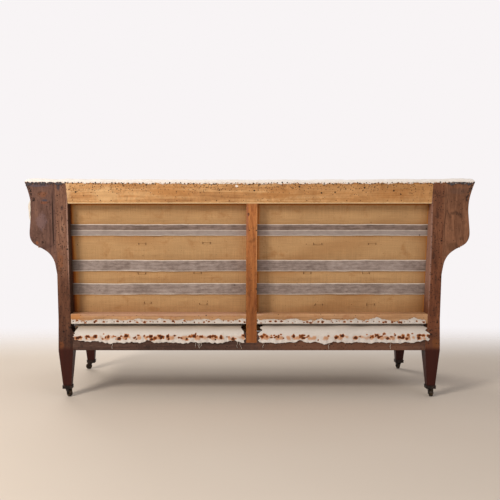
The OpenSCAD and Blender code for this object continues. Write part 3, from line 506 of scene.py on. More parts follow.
@dataclass(frozen=True)
class StripedWeb(Finish):
    """Two-inch webbing: close twill with a pale line along each edge."""

    body: str
    dark: str
    edge: str
    folded: bool = False

    def draw(self, g: Graph) -> dict[int | str, Any]:
        """Draws the web.

        The cloth map's u runs along the web in metres and its v across it from 0 to 1. Chevrons are
        the sine of u plus a triangle wave of v.

        Args:
            g: the material's graph.

        Returns:
            The shader's inputs.
        """
        at, cloth = g.place(), g.weave()
        u, v, _ = g.parts(cloth)
        fold = abs(g.maths("FRACT", v * 5) - 0.5)
        twill = ((u + fold * 0.004) * (2 * math.pi / 0.0026)).sine() * 0.5 + 0.5
        lines = g.noise(cloth, (3, 26, 1), 4, 0.75)
        runs = g.noise(cloth, (34, 4, 1), 4, 0.65)
        cloud = g.noise(at, 9, 3, 0.6)
        tone = (lines - 0.5) * 1.6 + (cloud - 0.5) * 0.7 + (runs - 0.5) * 1.1 + 0.5
        colour = g.mix(self.dark, self.body, tone.ease(0.1, 0.9))
        colour = g.shade(colour, twill * 0.12 + 0.94)
        colour = g.mix(colour, "5b4d49", g.noise(at, 60, 4, 0.7).ease(0.6, 0.74) * 0.5)
        # The folded web's lower half is painted lighter and its upper half left darker, as light and shade fall on the
        # fold; the pale middle line is a painted highlight on its ridge.
        if self.folded:
            light = v.ease(0.5, 0.45)
            colour = g.mix(colour, "aca19d", light * (runs * 0.5 + 0.45))
            line = (1 - abs(v - 0.47) * 22).ease(0.0, 0.6)
            colour = g.mix(colour, "ddd2c6", line * (runs * 0.8 + 0.2))
        rim = abs(v - 0.5).ease(0.42, 0.455) * (runs * 0.9 + 0.35)
        colour = g.mix(colour, self.edge, rim)
        # The webs' soil marks are painted shade by the posts and the upright.
        colour = g.mix(colour, "4a382a", g.attribute("soil"))
        colour = g.mix(colour, "3b2c26", g.pits(at, 0.03, 0.003, 0.12) * 0.7)
        return {"Base Color": colour, "Roughness": 0.88, "Sheen Weight": 0.1, "Specular IOR Level": 0.2,
                "Normal": g.bump(twill * 0.5 + lines * 0.6, 0.0006, 0.8)}


@dataclass(frozen=True)
class OldMetal(Finish):
    """Cast or drawn metal gone dull, with dark dirt and brighter rubbed places."""

    colour: str
    dark: str
    rust: str
    rust_share: float
    metallic: float = 0.85
    roughness: float = 0.45

    def draw(self, g: Graph) -> dict[int | str, Any]:
        """Draws the metal: two clouds of noise mix its bright, dark and rusty colours.

        Args:
            g: the material's graph.

        Returns:
            The shader's inputs.
        """
        at = g.place()
        cloud = g.noise(at, 70, 4, 0.65)
        grit = g.noise(at, 600, 2, 0.6)
        colour = g.mix(self.dark, self.colour, cloud.ease(0.35, 0.68))
        rusty = g.noise(at, 130, 4, 0.7).ease(0.46, 0.66) * self.rust_share
        colour = g.mix(colour, self.rust, rusty)
        return {"Base Color": colour, "Metallic": (1 - rusty) * self.metallic,
                "Roughness": cloud * 0.3 + rusty * 0.25 + (self.roughness - 0.15),
                "Normal": g.bump(grit * 0.5 + cloud, 0.0004, 0.6)}


@dataclass(frozen=True)
class SpunCord(Finish):
    """Twine or thread of fine fibres."""

    colour: str
    dark: str

    def draw(self, g: Graph) -> dict[int | str, Any]:
        """Draws the twine: fine noise mixes its two colours.

        Args:
            g: the material's graph.

        Returns:
            The shader's inputs.
        """
        fuzz = g.noise(g.place(), 900, 2, 0.6)
        colour = g.mix(self.dark, self.colour, fuzz.ease(0.3, 0.7))
        return {"Base Color": colour, "Roughness": 0.9, "Normal": g.bump(fuzz, 0.0005, 0.8)}


def marked(*rows: tuple[Any, ...]) -> tuple[Mark, ...]:
    """Marks from rows of x, z, wide, tall, colour, share and rough."""
    return tuple(Mark(*row) for row in rows)


POLISHED = {"hole_low": 0.2, "hole_high": 0.24, "polish_under": 0.214, "polish": "350f05"}
# The two posts share one wood with colours fitted apart: the right one is darker partly as painted shade, standing
# further from the window lamp, and partly redder in tone. On the left post, shaded_side paints shade on the inner
# face, and the pale line at x = 0.7875 is partly a rubbed edge and partly a painted highlight.
POST_LEFT = Timber(
    "post_left_wood", "96705a", "7a5645", "543629", stain_share=0.5, hole_share=0.62, hole_radius=0.0021,
    dim="b9a698", dim_low=0.42, dim_high=0.74, shaded_side=0.783, **POLISHED,
    marks=marked(
        (0.81, 0.25, 0.06, 0.05, "35201a", 0.45), (0.823, 0.225, 0.012, 0.02, "7a4420", 0.5),
        (0.822, 0.916, 0.009, 0.014, "33323c", 0.8), (0.8425, 0.77, 0.0035, 0.13, "a3806c", 0.5, 0.8),
        (0.7875, 0.70, 0.0032, 0.21, "a8887b", 0.6, 0.8), (0.811, 0.784, 0.006, 0.017, "35201a"),
        (0.809, 0.738, 0.005, 0.014, "33201c"), (0.812, 0.66, 0.005, 0.013, "3a241c"),
        (0.808, 0.83, 0.008, 0.013, "3b2a2a"), (0.822, 0.60, 0.012, 0.05, "7d4b2c", 0.5)))
# The right post's pale mark at x = -0.7852 is painted light on its inner face, which faces the window lamp.
POST_RIGHT = Timber(
    "post_right_wood", "8a5c40", "6e4530", "4d2b1c", stain_share=0.45, hole_share=0.62, hole_radius=0.0021,
    dim="f6e6da", dim_low=0.42, dim_high=0.8, **POLISHED,
    marks=marked(
        (-0.81, 0.25, 0.06, 0.05, "35201a", 0.35), (-0.82, 0.235, 0.018, 0.03, "7d4a20", 0.45),
        (-0.7852, 0.64, 0.0055, 0.27, "a58274", 0.62, 0.6), (-0.81, 0.80, 0.007, 0.02, "3b2318"),
        (-0.8, 0.62, 0.006, 0.02, "3d2519"), (-0.812, 0.52, 0.006, 0.03, "43291b")))
FRONT_WOOD = Timber("front_wood", "80503a", "663c2a", "48281b", stain_share=0.4, hole_share=0.3, **POLISHED)
EAR_LEFT = Timber(
    "ear_left_wood", "7c5a4b", "674a40", "4b3129", stain_share=0.6, hole_share=0.3, figure=0.5,
    marks=marked(
        (0.8487, 0.77, 0.0036, 0.135, "22110b", 0.95, 0.3), (0.861, 0.74, 0.002, 0.12, "3f251b", 0.5),
        (0.889, 0.887, 0.022, 0.013, "8f5530", 0.38), (0.884, 0.852, 0.018, 0.006, "8a4c28", 0.36),
        (0.883, 0.862, 0.015, 0.005, "353c4c", 0.75), (0.899, 0.773, 0.024, 0.04, "7d6464", 0.5),
        (0.91, 0.925, 0.06, 0.007, "4f4a56", 0.6), (0.858, 0.575, 0.016, 0.03, "8a4a25", 0.6),
        (0.92, 0.678, 0.006, 0.008, "9a5a2e", 0.5), (0.8955, 0.68, 0.007, 0.007, "25130f", 0.8),
        (0.9, 0.655, 0.03, 0.009, "39201a", 0.6), (0.863, 0.61, 0.012, 0.02, "4f2a1b", 0.6),
        (0.875, 0.665, 0.03, 0.012, "452c26", 0.5)))
EAR_RIGHT = Timber(
    "ear_right_wood", "916448", "78513b", "573521", stain_share=0.55, hole_share=0.3, figure=0.45,
    marks=marked(
        (-0.842, 0.76, 0.002, 0.13, "331c14", 0.6, 0.2), (-0.9, 0.9, 0.05, 0.016, "5d4438", 0.5),
        (-0.88, 0.66, 0.03, 0.02, "50321f", 0.5)))
# The top rail's pale line along its lower edge, at z = 0.8495, is a painted highlight.
BIRCH = Timber(
    "birch_honey", "d8b180", "c08f5d", "9a6a3e", grain=Grain.X, stain="8a5226", stain_share=0.45, hole_share=0.9,
    hole_low=0.875, hole_high=0.925, hole_radius=0.002, figure=0.9,
    marks=marked(
        (-0.5, 0.9, 0.5, 0.2, "a06c35", 0.25), (0, 0.8495, 3, 0.0035, "efd3a4", 0.6),
        (0.79, 0.9, 0.02, 0.05, "e6c49c", 0.4), (0.056, 0.9225, 0.006, 0.005, "f4ece4", 0.9),
        (0.34, 0.9, 0.1, 0.03, "b97f45", 0.45), (-0.12, 0.89, 0.08, 0.03, "ad733b", 0.4),
        (0.62, 0.885, 0.06, 0.03, "e2bb88", 0.45), (-0.62, 0.89, 0.09, 0.03, "a56b35", 0.35)))
# The upright's darker pinkish band at x = 0.0105 is painted shade, and its bright line at x = -0.0315 is a painted
# highlight along its edge.
UPRIGHT_WOOD = Timber(
    "upright_pine", "cb874f", "b06f3e", "844b29", stain_share=0.35, hole_share=0.1, dim="c8beb6", dim_low=0.36,
    dim_high=0.72,
    marks=marked(
        (0.0055, 0.803, 0.0045, 0.008, "43261c", 0.85), (0.0105, 0.76, 0.005, 0.09, "8c5a4a", 0.55),
        (-0.0315, 0.7, 0.0022, 0.2, "d59a66", 0.6), (-0.018, 0.55, 0.006, 0.1, "b5713c", 0.5)))
PINE = Timber(
    "pine_pale", "cba27c", "b78b64", "98704b", grain=Grain.X, stain="9c5f38", stain_share=0.5, hole_share=0.16,
    figure=0.3,
    marks=marked((0.4, 0.363, 0.5, 0.008, "c39a86", 0.55), (0.76, 0.35, 0.03, 0.02, "bd7b3c", 0.6)))
# The seat rail's paler mark over its right half is painted light, lifting the half that the lamps leave darker.
SEAT_RAIL_WOOD = Timber(
    "seat_rail_wood", "60463a", "4b342b", "2e1f19", grain=Grain.X, stain="170e0b", stain_share=0.55,
    hole_share=0.6, scrape="6e5549", figure=0.5, marks=marked((-0.42, 0.225, 0.4, 0.06, "8a5a3e", 0.36, 0.8)))
SEAT_RAIL_SIDE = replace(SEAT_RAIL_WOOD, name="seat_rail_side_wood", grain=Grain.Y, marks=())
BEECH = Timber("beech_rail", "b8926a", "a27b54", "85603e", grain=Grain.Y, stain="6d4629", stain_share=0.25,
               hole_share=0.2)
BEECH_UPRIGHT = replace(BEECH, name="beech_upright", grain=Grain.Z)
HESSIAN = WovenCloth("hessian_cloth", "c19b6e", "93693f", 0.0021, 0.5, 0.0006, "96602e", 0.5, 0.22, sheen=0.05)
CALICO = WovenCloth("calico_cloth", "e4dbcf", "d0c5b7", 0.0008, 0.1, 0.00025, "c9b498", 0.3)
SEAT_CALICO = WovenCloth("seat_calico_cloth", "dcd5cf", "c6beb6", 0.0008, 0.14, 0.0003, "8f7a62", 0.35)
EDGE_CALICO = WovenCloth("edge_calico_cloth", "f3eeea", "e2dbd4", 0.0008, 0.1, 0.00025, "c9b498", 0.2)
LINING = WovenCloth("old_lining", "4c464a", "26232a", 0.0012, 0.35, 0.0004, "a39b96", 0.6)
WEB = StripedWeb("web_grey", "ac9e98", "74655e", "e4d9cc")
WEB_FOLDED = StripedWeb("web_folded", "93817a", "5f4f47", "e0d5c9", folded=True)
CAST_IRON = OldMetal("cast_iron", "2c2520", "120e0c", "4a2a18", 0.5, 0.75, 0.5)
OLD_BRASS = OldMetal("old_brass", "51402a", "1a120c", "2e2015", 0.6, 0.8, 0.42)
SPRING_WIRE = OldMetal("spring_wire", "77706a", "3a342f", "6b3a1d", 0.35, 0.8, 0.4)
TACK_STEEL = OldMetal("tack_steel", "3a302a", "17110e", "52290f", 0.8, 0.6, 0.6)
TWINE = SpunCord("twine", "86633d", "5b3f25")
SLACK_TWINE = SpunCord("slack_twine", "a8814f", "8a643a")
HOLE_DARK = SpunCord("hole_dark", "684325", "3f2513")
COTTON = SpunCord("cotton_thread", "eee7dd", "d2c6b8")


# Meshes


def grid(first: tuple[float, float, int], second: tuple[float, float, int]) -> list[Array]:
    """Two parameters over a grid, each from a low to a high value in so many even steps."""
    return np.meshgrid(np.linspace(*first), np.linspace(*second), indexing="ij")


def joined(*parts: Any) -> Array:
    """Points from their x, y and z, each an array or a number; also cloth coordinates, from two parts."""
    return np.stack(np.broadcast_arrays(*parts), -1)


def unit(vectors: Array) -> Array:
    """Vectors divided by their lengths."""
    return vectors / np.maximum(np.linalg.norm(vectors, axis=-1, keepdims=True), 1e-12)


def quads(rows: int, cols: int, wrap: bool = False) -> NDArray[np.int64]:
    """Faces of a grid: (i, j), (i, j + 1), (i + 1, j + 1), (i + 1, j).

    Args:
        rows: points down the grid.
        cols: points across it.
        wrap: whether the last column joins the first.

    Returns:
        (faces, 4) corner numbers.
    """
    i, j = np.meshgrid(np.arange(rows - 1), np.arange(cols if wrap else cols - 1), indexing="ij")
    k = (j + 1) % cols
    return np.stack([i * cols + j, i * cols + k, (i + 1) * cols + k, (i + 1) * cols + j], -1).reshape(-1, 4)


def new_piece(name: str, points: Array, faces: Sequence[NDArray[np.int64]], material: bpy.types.Material,
              cloth_map: Array | None = None, marks: dict[str, Array] | None = None) -> bpy.types.Object:
    """Puts arrays into a mesh object at the origin.

    Args:
        name: of the object.
        points: vertices, (n, 3).
        faces: arrays of corner numbers, one array for each number of corners.
        material: of the whole piece.
        cloth_map: (n, 2) cloth coordinates.
        marks: numbers on the vertices, by attribute name.

    Returns:
        The object.
    """
    mesh = bpy.data.meshes.new(name)
    points = np.asarray(points, float).reshape(-1, 3)
    corners = np.concatenate([f.ravel() for f in faces])
    sizes = np.concatenate([np.full(len(f), f.shape[1]) for f in faces])
    mesh.vertices.add(len(points))
    mesh.vertices.foreach_set("co", points.ravel().astype(np.float32))
    mesh.loops.add(len(corners))
    mesh.loops.foreach_set("vertex_index", corners.astype(np.int32))
    mesh.polygons.add(len(sizes))
    mesh.polygons.foreach_set("loop_start", np.concatenate([[0], np.cumsum(sizes)[:-1]]).astype(np.int32))
    mesh.update(calc_edges=True)
    if cloth_map is not None:
        layer = mesh.uv_layers.new(name=WEAVE_MAP)
        layer.data.foreach_set("uv", np.asarray(cloth_map, float).reshape(-1, 2)[corners].ravel())
    for key, values in (marks or {}).items():
        mesh.attributes.new(key, "FLOAT", "POINT").data.foreach_set("value", np.asarray(values, float).ravel())
    mesh.materials.append(material)
    mesh.shade_smooth()
    return stood(name, mesh)


def stood(name: str, thing: bpy.types.ID) -> bpy.types.Object:
    """Puts a mesh, lamp or camera into the scene.

    Args:
        name: of the object.
        thing: its data.

    Returns:
        The object.
    """
    piece = bpy.data.objects.new(name, thing)
    bpy.context.scene.collection.objects.link(piece)
    return piece


def settle(piece: bpy.types.Object, slot: str, *nodes: str) -> None:
    """Makes a piece ride on the sofa and reports it.

    Args:
        piece: the finished object.
        slot: its material slot; not used.
        nodes: CAD nodes that it stands for, which it hides.
    """
    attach(piece, BODY)
    if nodes:
        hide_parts(*nodes)
    LOG.info("%s: %d vertices", piece.name, len(piece.data.vertices))


def measured(surface: Array) -> Array:
    """Cloth map of a grid: the mean length run along its columns and along its rows.

    Args:
        surface: (rows, cols, 3) points.

    Returns:
        (rows, cols, 2), in metres.
    """
    def run(axis: int) -> Array:
        """Length run so far along one direction, averaged over the other one."""
        mean = np.linalg.norm(np.diff(surface, axis=axis), axis=2).mean(axis=1 - axis)
        return np.concatenate([[0], np.cumsum(mean)])
    return np.stack(np.meshgrid(run(0), run(1), indexing="ij")[::-1], -1)


def lay(name: str, surface: Array, cloth: Finish, thickness: float, slot: str, *nodes: str,
        flat: tuple[float, float], rests_on: Sequence[str], held: str = "stretched", area: float | None = None,
        cloth_map: Array | None = None, marks: dict[str, Array] | None = None) -> None:
    """Lays one cloth: a grid of points, given its thickness to both sides.

    Args:
        name: of the piece.
        surface: (rows, cols, 3) points.
        cloth: its finish.
        thickness: in metres.
        slot: its material slot.
        nodes: CAD nodes that it stands for.
        flat: width and length that it was cut to; not used.
        rests_on: what carries it; not used.
        held: how it is held; not used.
        area: of the flat cut, where it isn't a rectangle; not used.
        cloth_map: (rows, cols, 2), or None to measure it along the grid's lines.
        marks: (rows, cols) numbers, by attribute name.
    """
    cloth_map = measured(surface) if cloth_map is None else cloth_map
    piece = new_piece(name, surface, [quads(*surface.shape[:2])], cloth.material(), cloth_map, marks)
    wall = piece.modifiers.new("thickness", "SOLIDIFY")
    wall.thickness, wall.offset = thickness, 0.0
    settle(piece, slot, *nodes)


def refine(chain: Array, count: int, passes: int) -> Array:
    """Spreads points evenly along the second axis of a net and rounds its corners.

    Straight lines join the net's points, new points are spread by their mean length, and each pass
    sets a point to a quarter of each neighbour and half of itself, with the ends kept.

    Args:
        chain: (n, m, 3) net.
        count: points along the second axis.
        passes: of rounding.

    Returns:
        (n, count, 3) net.
    """
    steps = np.linalg.norm(np.diff(chain, axis=1), axis=2).mean(0)
    along = np.concatenate([[0], np.cumsum(steps)])
    want = np.linspace(0, along[-1], count)
    k = np.clip(np.searchsorted(along, want, "right") - 1, 0, len(steps) - 1)
    share = ((want - along[k]) / np.maximum(steps[k], 1e-9))[None, :, None]
    net = blend(chain[:, k], chain[:, k + 1], share)
    for _ in range(passes):
        net[:, 1:-1] = net[:, :-2] / 4 + net[:, 1:-1] / 2 + net[:, 2:] / 4
    return net


def cut_net(chain: Array, across: int, along: int, round_across: int, round_along: int) -> Array:
    """A fine net from a coarse one, refined along both of its directions."""
    fine = refine(chain, across, round_across)
    return refine(fine.transpose(1, 0, 2), along, round_along).transpose(1, 0, 2)


def normals_of(surface: Array) -> Array:
    """Unit normals of a grid: the cross product of its two slopes."""
    return unit(np.cross(np.gradient(surface, axis=0), np.gradient(surface, axis=1)))


@dataclass
class Pad:
    """A pad that stands for a CAD node: two nets of one shape, closed along all four sides.

    The outer net shows and the inner one is hidden, both (rows, cols, 3). Marks are numbers for the
    outer net, by attribute name, and pinned are its points that are tacked down too. The swelling is
    the stuffing's pressure, the cap on a point's move in metres and the share by which the cloth is
    cut larger than the pad.
    """

    name: str
    node: str
    outer: Array
    inner: Array
    cover: Finish
    fill: float = 0.8
    swelling: tuple[float, float, float] | None = None
    marks: dict[str, Array] = field(default_factory=dict)
    pinned: NDArray[np.bool_] | None = None
    steps: int = 20

    def shell(self) -> bpy.types.Object:
        """Joins the nets by a strip of faces.

        Returns:
            The object, with a vertex group "held" on its hidden side, rim and tacked points.
        """
        rows, cols = self.outer.shape[:2]
        size = rows * cols
        front = quads(rows, cols)
        ring = np.concatenate([np.arange(cols), np.arange(1, rows) * cols + cols - 1,
                               (rows - 1) * cols + np.arange(cols - 2, -1, -1),
                               np.arange(rows - 2, 0, -1) * cols])
        after = np.roll(ring, -1)
        rim = np.stack([after, ring, ring + size, after + size], -1)
        points = np.concatenate([self.outer.reshape(-1, 3), self.inner.reshape(-1, 3)])
        flat = measured(self.outer).reshape(-1, 2)
        marks = {key: np.concatenate([values.ravel(), np.zeros(size)]) for key, values in self.marks.items()}
        piece = new_piece(self.name, points, [front, front[:, ::-1] + size, rim], self.cover.material(),
                          np.concatenate([flat, flat]), marks)
        solid = bmesh.new()
        solid.from_mesh(piece.data)
        bmesh.ops.recalc_face_normals(solid, faces=solid.faces[:])
        solid.to_mesh(piece.data)
        solid.free()
        held = piece.vertex_groups.new(name="held")
        tacked = ring if self.pinned is None else np.concatenate([ring, np.flatnonzero(self.pinned)])
        held.add(np.concatenate([tacked, np.arange(size, 2 * size)]).tolist(), 1.0, "REPLACE")
        return piece

    def swell(self, piece: bpy.types.Object, pressure: float, cap: float, slack: float) -> None:
        """Swells the pad by cloth simulation and keeps the result in its mesh.

        Args:
            piece: the pad.
            pressure: of the stuffing.
            cap: furthest that a point may move.
            slack: of the cloth.
        """
        scene = bpy.context.scene
        cloth = piece.modifiers.new("stuffing", "CLOTH")
        settings = cloth.settings
        settings.quality = 5
        settings.mass = 0.3
        settings.tension_stiffness = settings.compression_stiffness = 15
        settings.bending_stiffness = 0.6
        settings.shrink_min = -slack
        settings.use_pressure = True
        settings.uniform_pressure_force = pressure
        settings.vertex_group_mass = "held"
        settings.effector_weights.gravity = 0
        start = np.empty(len(piece.data.vertices) * 3, np.float32)
        piece.data.vertices.foreach_get("co", start)
        for step in range(1, self.steps + 1):
            scene.frame_set(step)
        moved = np.empty_like(start)
        shape = piece.evaluated_get(bpy.context.evaluated_depsgraph_get())
        shape.data.vertices.foreach_get("co", moved)
        piece.modifiers.remove(cloth)
        scene.frame_set(1)
        shift = (moved - start).reshape(-1, 3)
        reach = np.linalg.norm(shift, axis=1, keepdims=True)
        shift *= np.minimum(1, cap / np.maximum(reach, 1e-9))
        piece.data.vertices.foreach_set("co", (start.reshape(-1, 3) + shift).ravel())
        piece.data.update()

    def build(self) -> None:
        """Makes the pad. Where it swells, it is subdivided once."""
        piece = self.shell()
        if self.swelling:
            self.swell(piece, *self.swelling)
            finer = piece.modifiers.new("smooth", "SUBSURF")
            finer.levels = finer.render_levels = 1
        settle(piece, "calico", self.node)


def tubes(name: str, paths: Array, radius: float, sides: int, finish: Finish, slot: str, *nodes: str) -> None:
    """Round wires along paths of one length, with closed ends.

    Each ring is centre + r * (cos(b) * side + sin(b) * rise), where side is the cross product of the
    path's direction with a fixed axis, and rise that of side with the direction.

    Args:
        name: of the piece.
        paths: (wires, points, 3).
        radius: of the wires.
        sides: of a ring.
        finish: of the wires.
        slot: its material slot.
        nodes: CAD nodes that it stands for.
    """
    wires, count = paths.shape[:2]
    line = unit(np.gradient(paths, axis=1))
    axis = np.zeros(3)
    axis[int(np.argmin(np.abs(line).mean((0, 1))))] = 1.0
    side = unit(np.cross(line, axis))
    rise = np.cross(side, line)
    angle = np.linspace(0, 2 * np.pi, sides, endpoint=False)
    rings = paths[:, :, None] + radius * (np.cos(angle)[:, None] * side[:, :, None]
                                          + np.sin(angle)[:, None] * rise[:, :, None])
    start = np.arange(wires)[:, None, None] * count * sides
    walls = (quads(count, sides, True)[None] + start).reshape(-1, 4)
    ends = np.stack([np.arange(sides)[::-1], (count - 1) * sides + np.arange(sides)])
    caps = (ends[None] + start).reshape(-1, sides)
    settle(new_piece(name, rings, [walls[:, ::-1], caps[:, ::-1]], finish.material()), slot, *nodes)


def domes(name: str, places: Array, facing: Sequence[float], radius: Array, finish: Finish, slot: str,
          height: float = 0.35, sides: int = 8) -> None:
    """Tack heads or hole marks: low domes of two rings and a tip.

    A dome's point is place + r * (cos(a) * s * side + sin(a) * s * rise) + h * facing, where s is
    1, 0.7 and 0 and h is 0, 0.75 and 1 of its height; a wall goes 0.3 of the radius into the surface.

    Args:
        name: of the piece.
        places: (n, 3) centres.
        facing: the unit direction of them all.
        radius: (n,) radii.
        finish: of the heads.
        slot: its material slot.
        height: share of the radius.
        sides: of a ring.
    """
    facing = np.array(facing)
    side = unit(np.cross(facing, (1.0, 0.0, 0.0)))
    rise = np.cross(facing, side)
    angle = np.linspace(0, 2 * np.pi, sides, endpoint=False)
    flat = np.concatenate([joined(np.cos(angle) * s, np.sin(angle) * s, h)
                           for s, h in ((1, -0.3), (1, 0), (0.7, height * 0.75))] + [[[0, 0, height]]])
    local = flat[None] * np.asarray(radius, float)[:, None, None]
    points = places[:, None] + local[..., :1] * side + local[..., 1:2] * rise + local[..., 2:] * facing
    start = np.arange(len(places))[:, None, None] * len(flat)
    walls = (quads(3, sides, True)[None] + start).reshape(-1, 4)
    ring = np.arange(sides)
    tips = np.stack([2 * sides + ring, 2 * sides + (ring + 1) % sides, np.full(sides, 3 * sides)], -1)
    tips = (tips[None] + start).reshape(-1, 3)
    floor = (ring[::-1][None, None] + start).reshape(-1, sides)
    settle(new_piece(name, points, [walls, tips, floor], finish.material()), slot)


# The frame


SIDES = ("left", "right")
REARWARD = (0.0, 1.0, 0.0)
# Air between a piece and what carries it, then the room that a cloth and its air take up.
GAP = 0.0003
CLOTH_ROOM = 0.0018


@dataclass(frozen=True)
class Lines:
    """The frame's main lines, as the CAD source gives them."""

    top: float = 0.941
    knee: float = 0.340
    rake: float = math.tan(math.radians(7.5))
    rear_low: float = 0.294688
    front: float = -0.355312
    seat_depth: float = 0.075
    top_depth: float = 0.042
    post_in: float = 0.783
    cloth_x: float = 0.7967
    rail_low: float = 0.205
    rail_top: float = 0.283
    lower: float = 0.322
    stay: float = 0.352
    arm: float = 0.687
    arm_rail_t: float = 0.032
    arm_top: float = 0.711
    upright_x: float = -0.010
    upright_w: float = 0.046

    def rear(self, z: Any) -> Any:
        """Rear face of the posts: rear_low + (z - knee) * rake above the knee."""
        return self.rear_low + np.maximum(0, np.asarray(z, float) - self.knee) * self.rake

    def inner(self, z: Any) -> Any:
        """Inner face of the posts: the rear face less a depth that narrows evenly from the knee to the top."""
        rise = np.maximum(0, np.asarray(z, float) - self.knee) / (self.top - self.knee)
        return self.rear(z) - blend(self.seat_depth, self.top_depth, rise)


LINES = Lines()
RAKED = (0.0, 1.0 / math.hypot(1, LINES.rake), -LINES.rake / math.hypot(1, LINES.rake))


@dataclass
class Woodwork:
    """The frame's timbers: the CAD solids with their edges softened and rubbed."""

    edge: float = 0.0014
    sharp: float = math.radians(40)
    timbers: dict[str, tuple[Timber, str]] = field(default_factory=lambda: {
        "rear_post_left": (POST_LEFT, "dark"), "rear_post_right": (POST_RIGHT, "dark"),
        **{f"{n}_{s}": (FRONT_WOOD, "dark") for n in ("front_leg", "arm_stump") for s in SIDES},
        "ear_block_left": (EAR_LEFT, "ear"), "ear_block_right": (EAR_RIGHT, "ear"),
        "top_rail": (BIRCH, "birch"),
        "centre_upright": (UPRIGHT_WOOD, "upright"),
        **{f"lower_back_rail_{s}": (PINE, "pine") for s in SIDES},
        **{f"seat_rail_{s}": (SEAT_RAIL_WOOD, "seat_rail") for s in ("back", "front")},
        **{f"seat_rail_{s}": (SEAT_RAIL_SIDE, "seat_rail") for s in SIDES},
        "corner_blocks": (BEECH_UPRIGHT, "beech"),
        **{f"{n}_{s}": (BEECH, "beech") for n in ("arm_rail", "side_stay_rail", "wing_rail") for s in SIDES},
        **{f"wing_post_{s}": (BEECH_UPRIGHT, "beech") for s in SIDES},
    })

    def build(self) -> None:
        """Builds every timber."""
        for node, (timber, slot) in self.timbers.items():
            self.soften(node, timber, slot)

    def soften(self, node: str, timber: Timber, slot: str) -> None:
        """Stands a merged copy with bevelled edges for one CAD timber.

        Args:
            node: CAD node.
            timber: its finish.
            slot: its material slot.
        """
        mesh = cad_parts[node].data.copy()
        solid = bmesh.new()
        solid.from_mesh(mesh)
        bmesh.ops.remove_doubles(solid, verts=solid.verts[:], dist=2e-5)
        bmesh.ops.dissolve_limit(solid, angle_limit=math.radians(1.5), verts=solid.verts[:], edges=solid.edges[:])
        solid.to_mesh(mesh)
        solid.free()
        mesh.materials.clear()
        mesh.materials.append(timber.material())
        mesh.materials.append(replace(timber, name=timber.name + "_edge", worn=True).material())
        mesh.polygons.foreach_set("material_index", np.zeros(len(mesh.polygons), np.int32))
        mesh.shade_smooth()
        mesh.set_sharp_from_angle(angle=self.sharp)
        mesh.name = node + "_timber"
        piece = stood(mesh.name, mesh)
        bevel = piece.modifiers.new("softened", "BEVEL")
        bevel.width, bevel.segments, bevel.limit_method = self.edge, 2, "ANGLE"
        bevel.angle_limit = self.sharp
        bevel.material = 1
        settle(piece, slot, node)


@dataclass
class Casters:
    """Finishes of the four casters, whose CAD solids stay."""

    places: tuple[str, ...] = ("rear_left", "rear_right", "front_left", "front_right")
    metals: tuple[tuple[str, OldMetal], ...] = (
        ("cup", CAST_IRON), ("horn", CAST_IRON), ("pin", CAST_IRON), ("wheel", OLD_BRASS))

    def build(self) -> None:
        """Gives every cup, horn, pin and wheel its metal."""
        for place in self.places:
            for part, metal in self.metals:
                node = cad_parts[f"caster_{part}_{place}"]
                node.data.materials.clear()
                node.data.materials.append(metal.material())
                LOG.info("%s: %s", node.name, metal.name)


# Cloth, stuffing and fasteners


